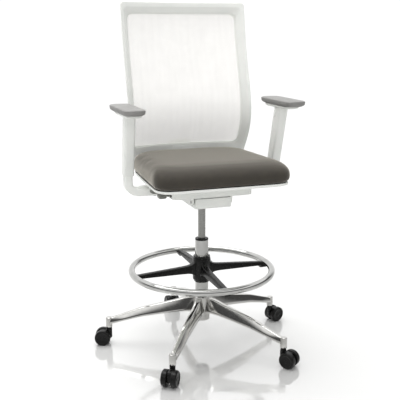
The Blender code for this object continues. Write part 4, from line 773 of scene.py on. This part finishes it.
def back_bar():
    """Bar from the rear pivot: level, then turning upwards in a wide bend, and thinning."""
    z0, upright = 0.581, 0.2595
    route = rounded(((0.132, z0), (upright, z0), (upright, 0.758)), (0, 0.052, 0), 40, ends=True)
    path2 = even(route, 90)
    share = np.linspace(0.0, 1.0, 90)
    wide = 0.062 - 0.020 * share
    thick = 0.034 - 0.016 * np.minimum(1.0, share * 1.6)
    ends = (0.93 + 0.07 * ease_in(share, 0.0, 0.02)) * (1 - 0.05 * ease_in(share, 0.985, 1.0))
    corners = np.stack([np.stack((wide * a * ends, thick / 2 * b * ends), 1)
                        for a, b in ((1, 1), (-1, 1), (-1, -1), (1, -1))], axis=1)
    section = rounded(corners, 0.006, 5)
    path = np.column_stack((np.zeros(90), path2))
    turn = np.radians(np.linspace(90, 270, 25))
    tongue = np.concatenate((arc((0.115, 0.585), 0.0135, turn), ((0.155, 0.5715), (0.155, 0.5985))))
    centre = np.array((0.135, 0.585))
    rings = []
    for x, s in ((-0.0608, 0.94), (-0.0598, 1.0), (0.0598, 1.0), (0.0608, 0.94)):
        flat = centre + (tongue - centre) * s
        rings.append(np.column_stack((np.full(len(flat), x), flat)))
    piece("back_bar", "back", WHITE, bar_skin(section, path), skin(rings),
          nodes=["back_support"], sharp=50)


def bar_skin(section, path):
    """Rings square to a path in the upright plane x = 0: u runs along x, v square to the path."""
    ahead = np.gradient(path, axis=0)
    ahead /= np.linalg.norm(ahead, axis=1, keepdims=True)
    normal = np.stack((np.zeros(len(path)), -ahead[:, 2], ahead[:, 1]), axis=1)
    side = np.array((1.0, 0.0, 0.0))
    return skin(path[:, None] + section[..., :1] * side + section[..., 1:] * normal[:, None])


# ---- arms -----------------------------------------------------------------------------
ELBOW_Z, SPREAD = 0.640, 0.2805
LEAN_OUT, LEAN_FORWARD = math.tan(math.radians(1.0)), math.tan(math.radians(13.5))
SLEEVE_LOW, SLEEVE_TOP, LEFT_DROP = 0.690, 0.905, 0.011
LATCH_Z, PAD_Y = 0.880, -0.060


def post_centre(z, side):
    """Middle of the leaning post at a height."""
    rise = np.asarray(z, float) - ELBOW_Z
    return np.stack((side * (SPREAD + rise * LEAN_OUT), -rise * LEAN_FORWARD), axis=-1)


def arm_bracket(suffix, side):
    """Foot, elbow and post as one moulding: rounded rectangles that turn from level to upright."""
    turn = np.radians(np.linspace(0.0, 67.5, 12))
    share = np.linspace(0.0, 0.75, 12)
    foot_z, bend = ELBOW_Z - 0.0225, 0.0355
    rings = []
    for x, depth, height in ((0.1503, 0.0595, 0.0315), (0.152, 0.060, 0.032), (0.205, 0.0582, 0.030),
                             (0.225, 0.0555, 0.030)):
        u, v = box_section(depth / 2, height / 2, 0.007).T
        rings.append(np.column_stack((np.full(len(u), side * x), u, foot_z + v)))
    for t, s in zip(turn, share):
        depth, thick = 0.0522 * (1 - s) + 0.040 * s, 0.030 * (1 - s) + 0.028 * s
        u, v = box_section(depth / 2, thick / 2, 0.007).T
        x, z = 0.245 + bend * math.sin(t), foot_z + bend * (1 - math.cos(t))
        rings.append(np.column_stack((side * (x - math.sin(t) * v), u, z + math.cos(t) * v)))
    for z in (0.660, 0.70, 0.80, 0.857, 0.858):
        half_u, half_v = (0.020, 0.014) if z < 0.8575 else (0.0193, 0.0133)
        u, v = box_section(half_u, half_v, 0.006).T
        cx, cy = post_centre(z, side)
        rings.append(np.column_stack((cx - side * v, cy + u, np.full(len(u), z))))
    piece("arm_post_" + suffix, "seat", WHITE, skin(rings),
          nodes=["arm_bracket_" + suffix], sharp=50)
    for y in (-0.016, 0.016):
        head = rounded(((0.0, 0.0), (0.0022, 0.0), (0.0022, 0.0012), (0.0028, 0.0030), (0.0048, 0.0030),
                        (0.0062, 0.0018), (0.0062, 0.0)), 0.0004, 3, ends=True)
        piece("bracket_screw_%s_%s" % (suffix, "front" if y < 0 else "rear"), "seat", STEEL,
              turned(head, (side * 0.185, y, foot_z - 0.0150), (0.0, 0.0, -1.0), 36))


def pierce(obj, cutter):
    """Cuts the cutter's shape out of a piece, then removes the cutter."""
    cut = obj.modifiers.new("window", "BOOLEAN")
    cut.operation, cut.solver, cut.object = "DIFFERENCE", "EXACT", cutter
    graph = bpy.context.evaluated_depsgraph_get()
    mesh = bpy.data.meshes.new_from_object(obj.evaluated_get(graph))
    obj.modifiers.clear()
    obj.data = mesh
    shade(mesh)
    bpy.data.objects.remove(cutter)


def arm_rest(suffix, side, drop):
    """Sleeve over the post, its flange, the latch button and the pad."""
    axis = np.array((side * LEAN_OUT, -LEAN_FORWARD, 1.0))
    shift = -drop * axis / np.linalg.norm(axis)

    def ring(z, half_w, half_d, corner):
        """Level rounded rectangle about the post's middle."""
        u, v = box_section(half_w, half_d, corner).T
        cx, cy = post_centre(z, side)
        return np.column_stack((cx + u, cy + v, np.full(len(u), z))) + shift

    room, outer = (0.0146, 0.0206), (0.0181, 0.0241)
    tube = [ring(0.896, *room, 0.006), ring(SLEEVE_LOW, *room, 0.006),
            ring(SLEEVE_LOW, 0.0176, 0.0236, 0.0075), ring(SLEEVE_LOW + 0.0006, *outer, 0.008),
            ring(0.80, *outer, 0.008), ring(SLEEVE_TOP + 0.002, *outer, 0.008)]
    cx, cy = post_centre(SLEEVE_TOP, side)
    plate = []
    for rise, k in ((0.0, 0.86), (0.0015, 0.95), (0.004, 1.0), (0.0085, 1.0)):
        u, v = box_section(0.027 * k, 0.092 * k, 0.014, 8).T
        level = np.full(len(u), SLEEVE_TOP + rise)
        plate.append(np.column_stack((cx + side * 0.003 + u, PAD_Y + v, level)) + shift)

    def block(half_v, half_w, levels):
        """Rounded block through the sleeve's inner wall, over the post's groove."""
        rings = []
        for depth, k in levels:
            v, w = box_section(half_v * k, half_w * k, 0.0025).T
            z = LATCH_Z + w
            bx, by = post_centre(z, side).T
            rings.append(np.column_stack((bx - side * depth, by + 0.009 + v, z)) + shift)
        return skin(rings)

    cover = piece("arm_sleeve_cover_" + suffix, "armrest_" + suffix, WHITE, skin(tube),
                  nodes=["arm_sleeve_" + suffix], sharp=50)
    points, faces = block(0.0058, 0.0113, ((0.0130, 1.0), (0.0230, 1.0)))
    window = make_object("window_cutter", points + ORIGIN, faces)
    pierce(cover, window)
    piece("arm_flange_" + suffix, "armrest_" + suffix, WHITE, skin(plate), sharp=50)
    piece("latch_button_" + suffix, "arm_button_" + suffix, WHITE,
          block(0.0055, 0.011, ((0.0148, 1.0), (0.0192, 1.0), (0.0198, 0.90), (0.0199, 0.80))),
          nodes=["arm_button_" + suffix])

    pad_x, bottom = cx + side * 0.006, SLEEVE_TOP + 0.009
    profile = rounded(((0.034, 0.110, 0.0), (0.009, 0.018, 0.0), (0.001, 0.003, 0.0065), (0.0, 0.0, 0.0195),
                       (0.006, 0.006, 0.0226), (0.034, 0.110, 0.0230)),
                      (0, 0.006, 0.006, 0.0035, 0.006, 0), 6, ends=True)
    rings = []
    for inset_w, inset_l, rise in profile:
        half_w, half_l = 0.0375 - min(inset_w, 0.036), 0.125 - min(inset_l, 0.118)
        u, v = even(box_section(half_w, half_l, min(0.026, half_w * 0.95), 16), 160, closed=True).T
        rings.append(np.column_stack((pad_x + u, PAD_Y + v, np.full(160, bottom + rise))) + shift)
    pad = piece("soft_arm_pad_" + suffix, "armrest_" + suffix, PAD, skin(rings),
                nodes=["arm_pad_" + suffix], sharp=180)


# ---- levers and the parts inside --------------------------------------------------------
def paddle(x, y, z, half_x, half_y, thick):
    """Small grip: rounded rectangles that swell to the middle of its thickness."""
    rings = []
    for height, k in ((-1.0, 0.72), (-0.93, 0.84), (-0.7, 0.95), (-0.3, 1.0), (0.3, 1.0), (0.7, 0.95),
                      (0.93, 0.84), (1.0, 0.72)):
        u, v = box_section(half_x * k, half_y * k, 0.006, 6).T
        rings.append(np.column_stack((x + u, y + v, np.full(len(u), z + height * thick))))
    return skin(rings)


def levers():
    """Two grey levers under the seat's left edge: rods with a paddle each."""
    pivot, z = 0.590, 0.616
    finger = rounded(((0.006, 0, 0.6115), (-0.024, 0, 0.6115), (-0.036, 0, 0.6055), (-0.045, 0, pivot)),
                     0.006, 6, ends=True)
    arm = rounded(((-0.045, -0.067, pivot), (-0.047, -0.071, pivot + 0.004), (-0.053, -0.079, pivot + 0.013),
                   (-0.060, -0.091, pivot + 0.0185), (-0.072, -0.098, z - 0.004), (-0.150, -0.098, z - 0.002),
                   (-0.183, -0.098, z)), 0.004, 5, ends=True)
    piece("height_lever", "lift_lever", LEVER,
          swept(circle(0.0035), even(finger, 40), (0, 1.0, 0)),
          swept(circle(0.0035), even(arm, 90), (0, 1.0, 0.3)),
          rod((-0.045, -0.069, pivot), (-0.045, 0.017, pivot), 0.0045),
          paddle(-0.183, -0.098, z, 0.014, 0.016, 0.0085), nodes=["lift_lever"])
    z, x, axis_y = 0.6245, -0.196, -0.050
    cam = np.array([[(-0.132 + t, axis_y - 0.002 + u, z - 0.0008 + v)
                     for u, v in box_section(0.006, 0.0052, 0.0012)] for t in (-0.004, 0.004)])
    piece("tilt_lever", "lock_lever", LEVER,
          rod((x, axis_y, z), (-0.128, axis_y, z), 0.0035),
          paddle(x, -0.060, z, 0.016, 0.016, 0.0055), skin(cam), nodes=["tilt_lock_lever"])


def inner_parts():
    """Castings, shafts and turned parts that keep their CAD shape, with eased edges."""
    eased("mechanism_housing", "mechanism", WHITE, 0.0022)
    eased("seat_carrier", "seat", WHITE, 0.0012)
    for node in ("taper_socket", "seat_pivot_shaft", "back_pivot_shaft"):
        eased(node, "mechanism", STEEL, 0.0004)
    eased("thrust_bearing", "base", STEEL, 0.0004)
    eased("piston_rod", "piston", CYLINDER, 0.0003)
    eased("retaining_clip", "piston", STEEL, 0.0002)
    eased("valve_pin", "valve", STEEL, 0.0003)
    lip = np.array([[(x, y, z) for x, z in box_section(0.0605, 0.0085, 0.003) + (0.0, 0.6010)]
                    for y in (-0.1225, -0.1205)])
    piece("housing_lip", "mechanism", WHITE, skin(lip))
    at = np.linspace(0.0, 1.0, 241)
    turn = math.tau * 5 * at
    coil = np.stack((0.0105 * np.cos(turn), 0.032 + 0.063 * at, 0.584 + 0.0105 * np.sin(turn)), axis=1)
    piece("tilt_coil", "mechanism", STEEL, swept(circle(0.002, 12), coil, (0, 1.0, 0)),
          nodes=["tilt_spring"])


def fasteners():
    """Four socket screws hold the back bar to the frame's pad."""
    head = rounded(((0.0, 0.0004), (0.0024, 0.0004), (0.0024, 0.0028), (0.0042, 0.0032), (0.0052, 0.0022),
                    (0.0052, 0.0)), 0.0004, 3, ends=True)
    places = ((-0.026, 0.716), (0.026, 0.716), (-0.026, 0.744), (0.026, 0.744))
    for count, (x, z) in enumerate(places, start=1):
        piece("back_screw_%d" % count, "back", STEEL,
              turned(head, (x, 0.2686, z), (0.0, 1.0, 0.0), 36))


# ---- camera, floor and light ------------------------------------------------------------
CAMERA_PLACE, CAMERA_TURN, CAMERA_DIP, CAMERA_LENS = (-0.9040, -2.5494, 1.185), 0.3422, 0.2274, 66.72
FLOOR_RADIUS = 14


def camera():
    """Stands ahead and to the left of the chair, above seat height, and looks slightly down."""
    made = linked("camera", bpy.data.cameras.new("camera"))
    made.location = CAMERA_PLACE
    turn, dip = CAMERA_TURN, CAMERA_DIP
    ahead = Vector((math.sin(turn) * math.cos(dip), math.cos(turn) * math.cos(dip), -math.sin(dip)))
    made.rotation_mode = "QUATERNION"
    made.rotation_quaternion = ahead.to_track_quat("-Z", "Y")
    made.data.lens, made.data.sensor_width = CAMERA_LENS, 36.0
    made.data.clip_start, made.data.clip_end = 0.05, 60.0
    bpy.context.scene.camera = made


def card(name, centre, width, height, facing, energy):
    """Soft light: a wide area lamp that looks at a point."""
    lamp = bpy.data.lights.new(name, "AREA")
    lamp.shape, lamp.size, lamp.size_y, lamp.energy = "RECTANGLE", width, height, energy
    made = linked(name, lamp)
    made.location = centre
    made.rotation_mode = "QUATERNION"
    made.rotation_quaternion = (Vector(facing) - Vector(centre)).to_track_quat("-Z", "Y")
    return made


def surround(world):
    """The room by direction: white behind the chair; elsewhere bands of grey and white from the
    floor's edge to overhead, which polished metal mirrors as streaks."""
    tree = world.node_tree
    way = add(tree, "ShaderNodeTexCoord").outputs["Generated"]
    parts = add(tree, "ShaderNodeSeparateXYZ", {"Vector": way})
    bands = add(tree, "ShaderNodeValToRGB", {"Fac": parts.outputs["Z"]})
    levels = ((0.0, 0.70), (0.10, 0.50), (0.22, 0.07), (0.40, 0.10), (0.52, 1.2), (0.72, 1.2), (0.78, 0.35),
              (0.88, 0.40), (0.94, 1.2))
    while len(bands.color_ramp.elements) < len(levels):
        bands.color_ramp.elements.new(0.5)
    for stop, (place, level) in zip(bands.color_ramp.elements, levels):
        stop.position, stop.color = place, (level, level, level, 1.0)
    back = add(tree, RANGE, {"Value": parts.outputs["Y"], "From Min": 0.35, "From Max": 0.70})
    bright = add(tree, MATH, {0: back.outputs[0], 1: bands.outputs[0]}, operation="MAXIMUM")
    tree.links.new(bright.outputs[0], tree.nodes["Background"].inputs["Color"])
    tree.nodes["Background"].inputs["Strength"].default_value = 1.06


def studio():
    """White glossy floor with a painted glow on its far part, the room around it, and two soft lamps."""
    scene = bpy.context.scene
    scene.view_settings.view_transform = "Standard"
    world = bpy.data.worlds.new("studio")
    world.use_nodes = True
    surround(world)
    scene.world = world

    mesh = bpy.data.meshes.new("floor")
    mesh.from_pydata(np.column_stack((circle(FLOOR_RADIUS, 96), np.zeros(96))), [], [list(range(96))])
    floor = linked("floor", mesh)
    gloss_white, tree, shader, place = begin("white_lacquered_floor", IOR=3.2)
    tint(tree, shader, add(tree, NOISE, clouds(place, 400.0)).outputs["Fac"], "DCDCDB", "DEDEDD")
    gloss(tree, shader, add(tree, NOISE, clouds(place, 250.0)).outputs["Fac"], 0.06, 0.09)
    # Painted light: the floor's far part glows, more the further it lies from the middle, so it fades to
    # white all round.
    reach = add(tree, "ShaderNodeVectorMath", {0: place}, operation="LENGTH").outputs["Value"]
    painted_far_glow = add(tree, RANGE, {"Value": reach, "From Min": 0.9, "From Max": 3.5, "To Max": 0.20})
    shader.inputs["Emission Color"].default_value = linear("FFFFFF")
    tree.links.new(painted_far_glow.outputs["Result"], shader.inputs["Emission Strength"])
    mesh.materials.append(gloss_white)

    card("top_softbox", (-0.4, 0.7, 3.6), 3.0, 3.0, (0.0, 0.0, 0.6), 110.0)
    card("front_fill", (-1.5, -3.2, 2.1), 2.5, 2.0, (0.0, 0.0, 0.8), 30.0).visible_glossy = False


star_base()
for number, arm_angle in enumerate(ARM_ANGLES, start=1):
    caster(number, arm_angle)
column()
foot_ring()
seat_shell()
seat_cushion()
back_frame()
back_mesh()
back_bar()
for arm_suffix, arm_side, arm_drop in (("left", -1, LEFT_DROP), ("right", 1, 0.0)):
    arm_bracket(arm_suffix, arm_side)
    arm_rest(arm_suffix, arm_side, arm_drop)
levers()
inner_parts()
fasteners()
camera()
studio()
